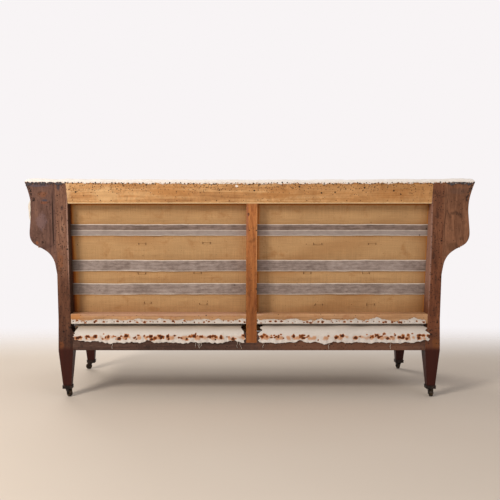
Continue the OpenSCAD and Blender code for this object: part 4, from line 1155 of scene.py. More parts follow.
@dataclass
class BackCloth:
    """Hessian and webs stretched over the back's inner face, with their stitches."""

    web_width: float = 0.051
    web_t: float = 0.0015
    hessian_t: float = 0.0012
    bulge: float = 0.0035
    web_heights: tuple[float, ...] = (0.470, 0.575, 0.733)
    posts: tuple[str, ...] = ("rear_post_left", "rear_post_right", "centre_upright")
    stitch_span: float = 0.033
    stitches: tuple[tuple[float, float], ...] = (
        (0.469, 0.672), (0.191, 0.676), (0.474, 0.540), (0.229, 0.542), (0.452, 0.407), (0.203, 0.402),
        (-0.301, 0.672), (-0.541, 0.672), (-0.258, 0.542), (-0.521, 0.542), (-0.313, 0.399), (-0.545, 0.399))

    def bay(self, x: Array) -> Array:
        """Slackness over a bay: sin(pi t) ** 0.6 between a post and the upright, and 0 on them.

        Args:
            x: along the sofa.

        Returns:
            0 to 1.
        """
        left, right = LINES.upright_x + LINES.upright_w / 2, LINES.upright_x - LINES.upright_w / 2
        t = np.where(x > left, (x - left) / (LINES.post_in - left), (right - x) / (LINES.post_in + right))
        t = np.clip(np.where((x > right) & (x < left), 0, t), 0, 1)
        return np.sin(np.pi * t) ** 0.6

    def swell(self, x: Array, z: Array) -> Array:
        """How far the hessian stands out behind the webs.

        It is bulge * bay * lumps, eased to 0 near each web, the lower rails and the top rail.

        Args:
            x: along the sofa.
            z: height.

        Returns:
            Distance in metres.
        """
        clear = ease(z, LINES.lower + 0.045, LINES.lower + 0.08) * ease(LINES.top - 0.09 - z, 0, 0.03)
        for centre in self.web_heights:
            clear = clear * ease(np.abs(z - centre), self.web_width / 2 + 0.002, self.web_width / 2 + 0.03)
        return self.bulge * self.bay(x) * clear * np.clip(1 + 0.5 * ripple([x, z], 0.2, 5), 0.35, 1.8)

    def painted_shade(self, x: Array, z: Array) -> Array:
        """Painted shade in the corners: shadows by the left post, the right one, the top rail and the upright.

        Each corner gives its share of exp(-distance / reach).

        Args:
            x: along the sofa.
            z: height.

        Returns:
            The largest of them.
        """
        past_upright = LINES.upright_x - LINES.upright_w / 2 - x
        low = 1 + ease(-z, -0.75, -0.45)
        corners = ((0.9, LINES.post_in - x, 0.0085 * low), (0.35, x + LINES.post_in, 0.004),
                   (0.75, 0.848 - z, 0.0045), (0.75, np.where(past_upright > 0, past_upright, 1), 0.009))
        return np.max([share * np.exp(-np.clip(far, 0, None) / reach) for share, far, reach in corners], axis=0)

    def hessian(self) -> None:
        """The hessian: a grid over the back whose y is the inner face less a clearance plus its swell."""
        x, z = grid((-LINES.cloth_x, LINES.cloth_x, 320), (LINES.knee, LINES.top - 0.01, 150))
        y = LINES.inner(z) - CLOTH_ROOM - self.hessian_t / 2 + self.swell(x, z)
        y = y - 0.0004 * np.abs(ripple([x, z], 0.05, 9)) * self.bay(x)
        # Soil marks here are mostly painted shade, beside the posts, above the lower rail and along the webs' edges,
        # with random soil over them; the rust mark holds painted shadows by the posts, under the top rail and beside
        # the upright.
        edge = np.abs(np.abs(x) - LINES.post_in + 0.002)
        soil = 0.45 * np.exp(-edge / 0.022) + 0.2 * np.exp(-(z - LINES.lower - 0.043) / 0.025)
        for centre in self.web_heights:
            soil = soil + 0.35 * np.exp(-np.abs(np.abs(z - centre) - self.web_width / 2) / 0.006)
        soil = soil + 0.16 * np.clip(ripple([x, z * 2], 0.3, 6), 0, 2)
        lay("back_hessian_sheet", joined(x, y, z), HESSIAN, self.hessian_t, "hessian", "back_hessian",
            flat=(2 * LINES.cloth_x, 0.6), rests_on=[*self.posts, "top_rail"], cloth_map=joined(x, z),
            marks={"soil": np.clip(soil, 0, 0.75), "rust": self.painted_shade(x, z)})

    def webs(self) -> None:
        """The three webs: grids along X whose edges curl by the fourth power of the share across.

        The highest one is folded along its middle. The first one stands for the CAD webs.
        """
        x, s = grid((-LINES.cloth_x, LINES.cloth_x, 420), (-1, 1, 15))
        bay = self.bay(x)
        for number, centre in enumerate(self.web_heights):
            folded = number == len(self.web_heights) - 1
            drift = 0.0006 * ripple([x], 0.45, 20 + number) * bay
            z = centre + drift + s * (self.web_width / 2 - 0.0003 * (1 + ripple([x], 0.07, 30 + number)) * bay)
            curl = 0.0016 * np.abs(s) ** 4 * (0.6 + 0.4 * ripple([x, s * 0.02], 0.12, 40 + number))
            wave = 0.0008 * (1 + ripple([x, s * 0.03], 0.09, 50 + number))
            if folded:
                wave = wave + 0.0035 * (1 - np.abs(s)) ** 1.2
            y = LINES.inner(z) - self.web_t / 2 + (curl + wave) * bay
            # The webs' soil marks are painted shade by the posts and the upright; z - 1 leaves out the shadow under
            # the top rail.
            lay(f"back_web_{number + 1}", joined(x, y, z), WEB_FOLDED if folded else WEB, self.web_t - GAP,
                "webbing", *(["back_webbing"] if number == 0 else []), flat=(2 * LINES.cloth_x, self.web_width),
                rests_on=self.posts, cloth_map=joined(x, (s + 1) / 2), marks={"soil": self.painted_shade(x, z - 1)})

    def twine(self) -> None:
        """Stitches: pairs of short upright loops joined by a slack run of twine."""
        def on_cloth(x: Array, z: Array, lift: Any) -> Array:
            """Points at a height over the hessian's face."""
            return joined(x, LINES.inner(z) - CLOTH_ROOM + self.swell(x, z) + lift, z)
        rng = np.random.default_rng(3)
        centres = np.array(self.stitches)
        once = (len(centres), 1)
        t = np.linspace(0, 1, 9)
        loops = []
        for sign in (-1, 1):
            x = centres[:, :1] + sign * self.stitch_span / 2 + rng.normal(0, 0.0012, once)
            x = x + rng.normal(0, 0.0015, once) * (t - 0.5)
            z = centres[:, 1:] + (t - 0.5) * rng.uniform(0.006, 0.011, once)
            loops.append(on_cloth(x, z, 0.0022 * np.sin(np.pi * t) - 0.0006))
        x = centres[:, :1] + (t - 0.5) * self.stitch_span
        z = centres[:, 1:] + rng.uniform(-0.004, 0.005, once) - 0.002 * np.sin(np.pi * t)
        tubes("back_stitches", np.concatenate(loops), 0.0014, 6, TWINE, "hessian")
        tubes("back_stitch_runs", on_cloth(x, z, 0.0006), 0.0005, 6, SLACK_TWINE, "hessian")

    def build(self) -> None:
        """Builds the hessian, the webs and the stitches."""
        self.hessian()
        self.webs()
        self.twine()


@dataclass
class TackedCalico:
    """The calico that shows behind: the seat's, on its rail, and the inside back's, on the lower rails.

    The first of the two bays is the one behind the sofa's left half.
    """

    cloth_t: float = 0.0012
    seat_low: float = 0.239
    tack_rows: tuple[float, float] = (0.2670, 0.2570)
    strip_height: float = 0.0185
    bays: tuple[tuple[float, float], ...] = ((0.0205, 0.768), (-0.7880, -0.0425))
    strip_ends: tuple[tuple[float, float], ...] = ((-0.006, 0.012), (0.014, 0.0065))
    tears: tuple[tuple[float, float, float], ...] = (
        (0.441, 0.016, 0.014), (0.072, 0.024, 0.011), (0.79, 0.10, 0.014), (-0.223, 0.020, 0.011),
        (-0.47, 0.012, 0.006), (-0.79, 0.06, 0.009))

    def ragged(self, x: Array, depth: float, seed: int) -> Array:
        """Torn edge: long lumps, shorter ones and a fray, 0.45, 0.24 and 0.1 of the depth."""
        return depth * (0.45 * ripple([x], 0.11, seed) + 0.24 * ripple([x], 0.034, seed + 1)
                        + 0.1 * ripple([x], 0.009, seed + 2))

    def torn_away(self, x: Array) -> Array:
        """Height lost at the tears: the sum of each one's height times exp(-(distance / half width) ** 2)."""
        return sum(tall * np.exp(-((x - place) / wide) ** 2) for place, wide, tall in self.tears)

    def freed(self, x: Array, tack_x: Array, reach: float) -> Array:
        """How free the cloth is of its tacks: 1 less the largest exp(-(distance / reach) ** 2)."""
        return 1 - np.exp(-((x - tack_x[:, None, None]) / reach) ** 2).max(0)

    def carried(self, profile: Sequence[tuple[float, float]], count: int, rows: int, passes: int) -> list[Array]:
        """Shares along X, depths and heights, all (count, rows), of a rounded profile carried along X."""
        line = refine(np.array([[(0.0, y, z) for y, z in profile]]), rows, passes)[0]
        return np.broadcast_arrays(np.linspace(0, 1, count)[:, None], line[:, 1], line[:, 2])

    def stains(self, x: Array, z: Array, tacks: Array, seed: int, size: float = 1.0) -> Array:
        """Rust round tacks.

        Each tack adds its strength times 1 - r, where r is the distance over its own width and
        height, changed by lumps. Two tacks of five stain widely.

        Args:
            x: along the cloth.
            z: height.
            tacks: (n, 2) places.
            seed: of their sizes.
            size: of the stains, 1 for the seat's.

        Returns:
            The largest of them, 0 to 1.1.
        """
        rng = np.random.default_rng(seed)
        each = (len(tacks), 1, 1)
        grown = size * np.where(np.arange(len(tacks)) % 5 < 2, 1, 0.52).reshape(each)
        wide = grown * rng.uniform(0.0085, 0.0145, each)
        tall = grown * rng.uniform(0.0065, 0.0100, each)
        power = rng.uniform(0.75, 1.9, each)
        far = np.hypot((x - tacks[:, :1, None]) / wide, (z - tacks[:, 1:, None]) / tall)
        rough = np.clip(1 + 0.16 * ripple([x, z], 0.011, seed + 5), 0.7, 1.4)
        return np.clip(power * (1 - far * rough), 0, 1.1).max(0)

    def seat_drop(self, number: int) -> None:
        """One bay of the seat's calico.

        A profile that slopes out from the tuck to the rail and hangs down its rear face is carried
        along X. Its lower edge is torn and its ends are cut back at the top. It puffs out over the
        rail's edge, and off its tacks it stands away by a share of 1 - exp(-(distance / 8 mm) ** 2).

        Args:
            number: of the bay.
        """
        name, rear = SIDES[number], LINES.rear_low
        lo, hi = self.bays[number]
        profile = ((rear - 0.075, 0.3206), (rear - 0.048, 0.3165), (rear - 0.018, 0.3045), (rear - 0.004, 0.2925),
                   (rear + 0.0014, 0.2835), (rear + 0.0018, 0.270), (rear + 0.0018, 0.255),
                   (rear + 0.0018, self.seat_low))
        share, y, z = self.carried(profile, int((hi - lo) / 0.0026), 60, 2)
        cut = 0.020 * ease(z, 0.272, 0.318) + 0.003 * ripple([z], 0.02, 7 + number)
        x = blend(lo + cut, hi - cut, share)
        hang = ease(-z, -LINES.rail_top, -self.seat_low)
        z = z + (self.ragged(x, 0.0042, 60 + 10 * number) + self.torn_away(x)) * hang
        tack_x = spaced(lo + 0.008, hi - 0.008, 0.036, 0.3, 70 + number)
        rng = np.random.default_rng(80 + number)
        tack_z = np.where(np.arange(len(tack_x)) % 2 == 0, *self.tack_rows) + rng.normal(0, 0.0035, len(tack_x))
        pucker = self.freed(x, tack_x, 0.008) * (0.0016 * ease(-z, -0.280, -0.262) + 0.0022 * hang)
        pucker = pucker + 0.0006 * np.abs(ripple([x, z * 0.3], 0.045, 90 + number)) * ease(-z, -0.30, -0.27)
        puff = 0.005 * np.sin(np.pi * np.clip((0.321 - z) / 0.04, 0, 1)) * (1 + 0.35 * ripple([x], 0.16, 95 + number))
        y = y + pucker + puff * 0.6
        z = z + puff * 0.8
        specks = joined(rng.uniform(lo + 0.01, hi - 0.01, 42), rng.normal(0.2655, 0.0065, 42))
        rust = self.stains(x, z, np.concatenate([joined(tack_x, tack_z), specks]), 100 + number)
        haze = 0.16 * np.exp(-((z - 0.260) / 0.012) ** 2) * np.clip(1 + ripple([x, z], 0.03, 104), 0, 2)
        # Soil marks: painted shade over the upper band, in the shadow of the lower rail and the strip, less in the
        # second bay; the band along the tack rows is darkened a little as well.
        soil = (0.8 - 0.3 * number) * ease(z, 0.277, 0.312) + 0.18 * np.exp(-np.abs(z - 0.262) / 0.009)
        lay(f"seat_calico_{name}_cloth", joined(x, y + self.cloth_t / 2, z), SEAT_CALICO, self.cloth_t, "calico",
            f"seat_calico_{name}", flat=(hi - lo, 0.136), rests_on=["seat_rail_back", "seat_pad"],
            marks={"rust": np.maximum(rust, haze), "soil": soil})
        domes(f"seat_tacks_{name}", joined(tack_x, rear + 0.0034, tack_z), REARWARD,
              rng.uniform(0.0026, 0.004, len(tack_x)), TACK_STEEL, "calico")

    def rail_strip(self, number: int) -> None:
        """One bay of the inside back's calico.

        A profile that comes under the lower rail and up its rear face is carried along X. Its upper
        edge is torn and waved by a cosine, and it stands away off its tacks as the seat's does.

        Args:
            number: of the bay.
        """
        name, rear, low = SIDES[number], LINES.rear_low, LINES.lower
        lo, hi = (end + more for end, more in zip(self.bays[number], self.strip_ends[number]))
        high = low + self.strip_height
        profile = ((rear - 0.036, low - 0.0012), (rear - 0.004, low - 0.0012), (rear + 0.0014, low + 0.001),
                   (rear + 0.0016, high))
        share, y, z = self.carried(profile, int((hi - lo) / 0.003), 34, 1)
        x = blend(lo, hi, share)
        up = ease(z, low, high)
        z = z + up * (self.ragged(x, 0.0060, 120 + 10 * number) + 0.0012 * np.cos(x * 14 + number))
        tack_x = spaced(lo + 0.006, hi - 0.006, 0.031, 0.35, 130 + number)
        rng = np.random.default_rng(140 + number)
        tack_z = low + 0.009 + rng.normal(0, 0.0016, len(tack_x))
        y = y + self.freed(x, tack_x, 0.007) * 0.0022 * ease(z, low - 0.001, low + 0.006)
        specks = joined(rng.uniform(lo + 0.01, hi - 0.01, 24), low + rng.uniform(0.004, 0.014, 24))
        rust = self.stains(x, z, np.concatenate([joined(tack_x, tack_z), specks]), 150 + number, 0.6)
        lay(f"rail_calico_{name}_cloth", joined(x, y + self.cloth_t / 2, z), SEAT_CALICO, self.cloth_t, "calico",
            f"rail_calico_{name}", flat=(hi - lo, 0.058), rests_on=[f"lower_back_rail_{name}"],
            marks={"rust": rust, "soil": 0.32 * up})
        domes(f"rail_tacks_{name}", joined(tack_x, rear + 0.0030, tack_z), REARWARD,
              rng.uniform(0.0016, 0.0028, len(tack_x)), TACK_STEEL, "calico")

    def build(self) -> None:
        """Builds both bays of both cloths."""
        for number in range(len(self.bays)):
            self.seat_drop(number)
            self.rail_strip(number)


@dataclass
class TopEdge:
    """The stuffed roll along the top, its tacks, and what is left of a dark lining on the ears."""

    half: float = 0.9655
    height: float = 0.0150
    sag: float = 0.36
    inner: float = 0.33181
    outer: float = 0.37531
    lined: tuple[tuple[float, float], ...] = ((0.802, 0.957), (-0.963, -0.845))

    def drop(self, x: Array) -> Array:
        """How far the calico hangs over the rear face: 3 mm, plus 6.2 mm times 1 - s ** 2 between the ends."""
        return 0.0030 + 0.0062 * (1 - (x / self.half) ** 2)

    def roll(self) -> None:
        """The roll: a half oval carried along X, lumpy, with its ends rounded and its floor flat."""
        s, angle = grid((-1, 1, 460), (0, np.pi, 19))
        along = s * self.half
        tip = (1 - np.abs(s) ** 90) ** 0.5
        lump = 1 + (0.055 * ripple([along], 0.16, 160) + 0.035 * ripple([along, angle * 0.02], 0.04, 161)) * tip
        y = blend(self.outer, self.inner, 0.5 - 0.5 * np.cos(angle))
        rise = self.height * (1 - self.sag * (1 - s ** 2)) * np.sin(angle) ** 0.6
        z = LINES.top + GAP + rise * np.clip(lump, 0.6, 1.12) * tip
        soil = 0.3 * np.exp(-angle / 0.3) * (0.6 + 0.4 * ripple([along], 0.05, 162))
        Pad("top_roll_calico", "top_roll", joined(along, y, z), joined(along, y, LINES.top + 0.0002), EDGE_CALICO,
            marks={"soil": np.clip(soil, 0, 0.7)}).build()

    def hem(self) -> None:
        """The roll's calico, turned down over the rear face. Its torn, rusty edge is the drop and two ripples."""
        s, down = grid((-1, 1, 640), (0, 1, 8))
        x = s * (self.half - 0.006)
        low = self.drop(x) + 0.0013 * ripple([x], 0.05, 175) + 0.0009 * ripple([x], 0.009, 176)
        z = LINES.top + 0.002 - down * (np.clip(low, 0.0015, 0.012) + 0.002)
        y = LINES.rear(z) + 0.0009 + 0.0007 * np.abs(ripple([x, z], 0.03, 177)) * down
        rust = 0.5 * np.clip(ripple([x, z * 2], 0.010, 178) - 0.3, 0, 1.3) * down
        lay("top_hem", joined(x, y, z), EDGE_CALICO, 0.0010, "calico", flat=(1.919, 0.0105), rests_on=["top_rail"],
            marks={"rust": rust, "soil": 0.35 * down})

    def tacks(self) -> None:
        """Tack heads along the hem's torn edge."""
        rng = np.random.default_rng(170)
        x = spaced(-0.955, 0.955, 0.020, 0.4, 171)
        z = LINES.top - self.drop(x) * rng.uniform(0.3, 1.3, len(x))
        domes("top_tacks", joined(x, LINES.rear(z) + 0.0015, z), RAKED, rng.uniform(0.0018, 0.0038, len(x)),
              TACK_STEEL, "birch")

    def holes(self) -> None:
        """Old tack holes: a row along the lower edge, a dense band under the tacks and a loose one below it."""
        rng = np.random.default_rng(172)
        row = spaced(-0.76, 0.76, 0.0565, 0.16, 173)
        dense, loose = rng.uniform(-0.79, 0.79, 150), rng.uniform(-0.79, 0.79, 70)
        x = np.concatenate([row, dense, loose])
        z = np.concatenate([0.8615 + rng.normal(0, 0.0012, len(row)), rng.uniform(0.905, 0.934, len(dense)),
                            rng.uniform(0.868, 0.912, len(loose))])
        radius = np.concatenate([rng.uniform(0.0016, 0.0027, len(row)), rng.uniform(0.0009, 0.0021, len(dense)),
                                 rng.uniform(0.0008, 0.0018, len(loose))])
        domes("top_rail_holes", joined(x, LINES.rear(z) + 0.0002, z), RAKED, radius, HOLE_DARK, "birch", 0.1, 7)

    def torn_bits(self) -> None:
        """Dark crumbs and scraps down the outer edge of both ears, where a cover was torn from its tacks."""
        rng = np.random.default_rng(174)
        count = 36
        for side, name in zip((1, -1), SIDES):
            z = rng.uniform(0.858, 0.938, count)
            x = side * (0.9645 - 0.33 * (LINES.top - z) - 0.5 * (LINES.top - z) ** 2
                        - rng.uniform(0.0005, 0.012, count))
            domes(f"ear_crumbs_{name}", joined(x, LINES.rear(z) + GAP, z), REARWARD,
                  rng.uniform(0.001, 0.0034, count), TACK_STEEL, "ear", 0.6, 6)

    def lining(self) -> None:
        """Torn strips of dark lining left under the roll on both ears, as deep as 9 mm and two ripples."""
        for number, (lo, hi) in enumerate(self.lined):
            x, down = grid((lo, hi, 90), (0, 1, 12))
            drop = 0.0092 + 0.0030 * ripple([x], 0.035, 180 + number) + 0.0022 * ripple([x], 0.008, 185 + number)
            z = LINES.top - 0.0005 - down * np.clip(drop, 0.002, 0.016)
            y = LINES.rear(z) + 0.0012 + 0.0015 * np.abs(ripple([x, z], 0.014, 190 + number)) * down
            lay(f"ear_lining_{number + 1}", joined(x, y, z), LINING, 0.0008, "calico", flat=(hi - lo, 0.0105),
                held="hung", rests_on=[f"ear_block_{SIDES[number]}"])

    def build(self) -> None:
        """Builds the roll, its hem, the tacks, the holes and what is left of old covers."""
        for step in (self.roll, self.hem, self.tacks, self.holes, self.torn_bits, self.lining):
            step()


@dataclass
class SeatDeck:
    """Interlaced webs under the seat, the springs on them and the hessian over those."""

    long_webs: int = 6
    cross_webs: int = 11
    long_pitch: float = 0.078
    cross_pitch: float = 0.140
    long_end: float = 0.817
    cross_end: float = 0.305
    cover_front: float = -0.315
    cover_rear: float = 0.254
    front_skirt: float = 0.0237
    rear_skirt: float = 0.102
    web_width: float = 0.051
    web_t: float = 0.0015
    middle: float = -0.030312
    spring_columns: int = 5
    spring_r: float = 0.046
    waist_r: float = 0.027
    waist_power: float = 1.6
    wire_r: float = 0.0019
    turns: float = 3.5
    spring_top: float = 0.330
    platform_x: float = 0.626

    def laced(self, places: Array, end: float, first: int, sign: int, s: Array) -> Array:
        """Height of a web that passes over and under the ones it crosses.

        It is half a web and its air above or below the middle plane at each crossing, in turn, with
        straight lines between.

        Args:
            places: of the crossing webs along it.
            end: its half length.
            first: its own number, which sets the first crossing.
            sign: 1 for the long webs and -1 for the cross ones.
            s: where along it.

        Returns:
            Height over the webs' middle plane.
        """
        lace = (self.web_t + GAP) / 2
        side = sign * np.where((np.arange(len(places)) + first) % 2 == 0, 1, -1) * lace
        reach = self.web_width / 2 + self.web_t
        knots = np.concatenate([[-end], np.stack([places - reach, places + reach], 1).ravel(), [end]])
        rises = np.concatenate([[lace], np.repeat(side, 2), [lace]])
        return np.interp(s, knots, rises)

    def webs(self) -> None:
        """All the seat's webs, each a strip of its own. The first long one stands for the CAD webs."""
        level = LINES.rail_low - GAP - self.web_t - GAP / 2
        cross_x = (np.arange(self.cross_webs) - (self.cross_webs - 1) / 2) * self.cross_pitch
        long_y = (np.arange(self.long_webs) - (self.long_webs - 1) / 2) * self.long_pitch
        for kind, places, crossed, end, count, rails in (
                ("long", long_y, cross_x, self.long_end, 420, SIDES),
                ("cross", cross_x, long_y, self.cross_end, 200, ("front", "back"))):
            s, w = grid((-end, end, count), (-1, 1, 7))
            out, along_x = w * self.web_width / 2, kind == "long"
            for number, place in enumerate(places):
                z = level + self.laced(crossed, end, number, 1 if along_x else -1, s)
                x, y = (s, self.middle + place + out) if along_x else (place - out, self.middle + s)
                lay(f"seat_web_{kind}_{number + 1}", joined(x, y, z), WEB, self.web_t - 0.0002, "webbing",
                    *(["seat_webbing"] if along_x and number == 0 else []), flat=(2 * end, self.web_width),
                    rests_on=[f"seat_rail_{rail}" for rail in rails], cloth_map=joined(s, (w + 1) / 2))

    def springs(self) -> None:
        """Waisted coils: radius r = waist + (mouth - waist) * |2t - 1| ** power, height even in t."""
        t = np.linspace(0, 1, 85)
        turn = 2 * np.pi * self.turns * t
        radius = self.waist_r + (self.spring_r - self.waist_r) * np.abs(2 * t - 1) ** self.waist_power
        low, high = LINES.rail_low + self.wire_r, self.spring_top - 0.0015 - self.wire_r
        coil = joined(radius * np.cos(turn), radius * np.sin(turn), blend(low, high, t))
        columns = (np.arange(self.spring_columns) * 2 + 1 - self.spring_columns) * self.cross_pitch
        rows = self.middle + (np.array([0, 2, 4]) - (self.long_webs - 1) / 2) * self.long_pitch
        feet = np.array([(x, y, 0.0) for x in columns for y in rows])
        tubes("seat_spring_coils", coil[None] + feet[:, None], self.wire_r, 8, SPRING_WIRE, "spring_steel",
              "seat_springs")

    def cover(self) -> None:
        """Hessian over the springs: up from the rails by the lesser share of the way in from side and end."""
        side, low, high = LINES.cloth_x, LINES.rail_top + 0.0009, self.spring_top - 0.0007
        x, y = grid((-side, side, 150), (self.cover_front, self.cover_rear, 60))
        past_side = (side - np.abs(x)) / (side - self.platform_x)
        past_end = np.minimum((y - self.cover_front) / self.front_skirt,
                              (self.cover_rear + 2 * GAP - y) / self.rear_skirt)
        z = blend(low, high, np.clip(np.minimum(past_side, past_end), 0, 1))
        lay("spring_hessian_sheet", joined(x, y, z), HESSIAN, 0.0010, "hessian", "spring_hessian",
            flat=(1.61, 0.60), rests_on=["seat_springs", "seat_rail_front"])

    def build(self) -> None:
        """Builds the webs, the springs and their cover."""
        self.webs()
        self.springs()
        self.cover()


@dataclass
class Stuffing:
    """The calico-covered pads of the seat, inside back, arms and wings, and the hessian behind the sides.

    A side is 1 for the sofa's left and -1 for its right.
    """

    seat_half: float = 0.7636
    plat_x: float = 0.626
    side_in: float = 0.797
    plat_front: float = -0.29131
    plat_rear: float = 0.15269
    skirt_front: float = -0.31531
    skirt_rear: float = 0.25469
    seat_rear: float = 0.21639
    seat_floor: float = 0.3309
    over_rail: float = 0.0024
    seat_crown: float = 0.092
    seat_nose: float = 0.020
    drop: float = 0.047
    seat_line: tuple[tuple[float, float], ...] = (
        (0, 0.42), (0.012, 0.68), (0.05, 0.86), (0.13, 0.96), (0.27, 1), (0.45, 1), (0.62, 0.93),
        (0.76, 0.78), (0.87, 0.5))
    back_line: tuple[tuple[float, float], ...] = (
        (0, 0.01), (0.028, 0.3), (0.06, 0.6), (0.11, 0.86), (0.2, 0.97), (0.33, 1), (0.46, 0.97), (0.58, 0.92),
        (0.7, 0.88), (0.82, 0.84), (0.92, 0.72), (0.975, 0.5), (1, 0.2))
    back_t: float = 0.078
    back_low: float = 0.3223
    back_high: float = 0.951
    back_room: float = 0.0033
    arm_t: float = 0.031
    arm_roll: float = 0.024
    arm_low: float = LINES.lower + GAP
    arm_high: float = LINES.arm - LINES.arm_rail_t
    arm_in: float = 0.850
    arm_out: float = 0.930
    wing_t: float = 0.034
    wing_roll: float = 0.013
    wing_y0: float = 0.33181
    wing_run: float = 0.330
    wing_steps: int = 12
    wing_bend: int = 4
    wing_in: float = 0.894
    wing_board: float = 0.036
    wing_board_d: float = 0.062
    wing_nose: float = 0.05131
    tilt: float = math.radians(4)
    stump_y: float = -0.310312
    calico_t: float = 0.0015
    hessian_t: float = 0.0012

    @staticmethod
    def end_round(u: Array) -> Array:
        """Rounding toward both ends: the root of 1 - |u| ** 8."""
        return np.sqrt(np.clip(1 - np.abs(u) ** 8, 0, 1))

    def seat(self) -> None:
        """The seat: rings across it, from the lip tacked on the front rail over the crown to the tuck.

        A ring of the crown lies a share of the way from nose to rear, at the floor plus its share of
        the crown's height, lower toward both ends. Along the normals, gathers in the lip are a cosine
        of x and the rest is lumpy by ripples.
        """
        s = np.linspace(-1, 1, 41)
        u = np.sign(s) * np.abs(s) ** 0.9
        x = u * self.seat_half
        rail, face, full = LINES.rail_top, LINES.front, self.end_round(u)
        # side is 0 over the platform of the springs and 1 at the side rails; inner follows the hessian.
        side = np.clip((np.abs(x) - self.plat_x) / (self.side_in - self.plat_x), 0, None)
        floor = blend(self.seat_floor, rail + self.over_rail, side)
        crown = blend(0.55, 1, full)
        nose = face - self.seat_nose * blend(0.6, 1, full)
        upper = [(blend(nose, self.seat_rear, a), self.seat_floor + self.seat_crown * b * crown)
                 for a, b in self.seat_line]
        outer = [(face - CLOTH_ROOM, rail - self.drop), (face - CLOTH_ROOM, rail - self.drop / 2),
                 (blend(face, nose, 0.7), rail - self.drop * 0.15), *upper,
                 (self.seat_rear, LINES.lower - 0.0006)]
        tuck = np.minimum(blend(self.skirt_rear, self.plat_rear, 1 - side), self.seat_rear - GAP)
        slope = (self.skirt_rear - tuck) / (self.skirt_rear - self.plat_rear)
        inner = [(face - GAP, rail - self.drop), (face - GAP, rail - self.drop / 2), (face - GAP, rail + GAP),
                 (blend(face, self.skirt_front, 0.6), rail + GAP), (self.skirt_front, rail + 0.0021),
                 (blend(self.skirt_front, self.plat_front, 1 - side), floor),
                 (blend(self.plat_rear, self.plat_front, 0.5), floor),
                 (tuck, blend(rail + self.over_rail, self.seat_floor, slope)), (self.seat_rear, rail + 0.0203)]
        outer, inner = (np.stack([joined(x, y, z) for y, z in rings], 1) for rings in (outer, inner))
        outer, inner = cut_net(outer, 84, 150, 3, 3), cut_net(inner, 84, 150, 0, 0)
        normal, along, above = normals_of(outer), outer[..., 0], outer[..., 2]
        gathers = np.exp(-np.abs(above - 0.262) / 0.022) * (outer[..., 1] < face + 0.02)
        outer = outer - normal * (0.0014 * gathers * np.cos(along * 2 * np.pi / 0.047))[..., None]
        outer = outer + normal * (0.0022 * ripple([along, outer[..., 1]], 0.22, 200) * (1 - gathers)
                                  * ease(above, 0.30, 0.36))[..., None]
        low = (outer[..., 2] < rail + 0.022) & (outer[..., 1] < face + 0.03)
        Pad("seat_pad_calico", "seat_pad", outer, inner, CALICO, swelling=(4, 0.012, 0.012), pinned=low).build()
        tack_x = spaced(-0.75, 0.75, 0.036, 0.2, 210)
        domes("front_tacks", joined(tack_x, face - 0.0020, rail - self.drop + 0.008), (0.0, -1.0, 0.0),
              np.full(len(tack_x), 0.0034), TACK_STEEL, "calico")

    def face_of_arm(self) -> Array:
        """The arm pad's face, from its lower edge to the turn of the roll.

        Returns:
            Points (x, z).
        """
        z0, z1, t = self.arm_low, self.arm_high, self.arm_t
        back, low = self.arm_in - CLOTH_ROOM, self.side_in - CLOTH_ROOM
        return np.array([(low - t * 0.75, z0), (low - t * 0.85, LINES.knee), (low - t, blend(z0, z1, 0.2)),
                         (blend(low, back, 0.35) - t, blend(z0, z1, 0.55)), (back - t * 0.96, blend(z0, z1, 0.88)),
                         (back - t * 0.72, z1 + LINES.arm_rail_t * 0.7),
                         (back - t * 0.3, LINES.arm + self.arm_roll * 0.62)])

    def back_half(self, z: Array) -> Array:
        """Half of the back pad's width: it follows the arm pads' faces, then widens above the arms.

        Args:
            z: height.

        Returns:
            Half the width.
        """
        line = self.face_of_arm()
        wide = self.wing_in - CLOTH_ROOM - self.wing_t - 0.0006
        return np.interp(z, [*line[:, 1], LINES.arm_top + self.wing_t], [*(line[:, 0] - 0.0006), wide])

    def inside_back(self) -> None:
        """The inside back: the posts' inner face less a thickness by height, drawn in toward both ends."""
        u = -np.cos(np.linspace(0, np.pi, 61))
        shares = np.array(self.back_line)
        heights, thick = blend(self.back_low, self.back_high, shares[:, 0]), shares[:, 1]
        uu, hh = np.meshgrid(u, heights, indexing="ij")
        x = uu * self.back_half(hh)
        base = LINES.inner(hh) - self.back_room
        outer = joined(x, base - self.back_t * thick * blend(0.5, 1, self.end_round(uu)), hh)
        outer, inner = cut_net(outer, 76, 170, 3, 2), cut_net(joined(x, base, hh), 76, 170, 0, 2)
        lumps = 0.0025 * ripple([outer[..., 0], outer[..., 2]], 0.24, 220)
        outer[..., 1] += lumps * ease(outer[..., 2], 0.36, 0.5) * ease(-outer[..., 2], -0.95, -0.9)
        Pad("inside_back_calico", "inside_back_pad", outer, inner, CALICO, 0.75, (4, 0.012, 0.012)).build()

    def side_pad(self, kind: str, side: int, outer: Array, inner: Array, lumps: Array, cap: float) -> None:
        """Makes an arm or wing pad from its nets.

        Args:
            kind: arm or wing.
            side: of the sofa.
            outer: (rows, cols, 3) points of the left one that show.
            inner: (rows, cols, 3) points of its hidden side.
            lumps: (rows, cols) depths along the outer normals.
            cap: furthest that a point may move as it swells.
        """
        node = f"{kind}_pad_{SIDES[side < 0]}"
        flip = np.array([side, 1, 1])
        outer = outer - normals_of(outer) * lumps[..., None]
        Pad(f"{node}_calico", node, outer * flip, inner * flip, CALICO, swelling=(3, cap, 0.01)).build()

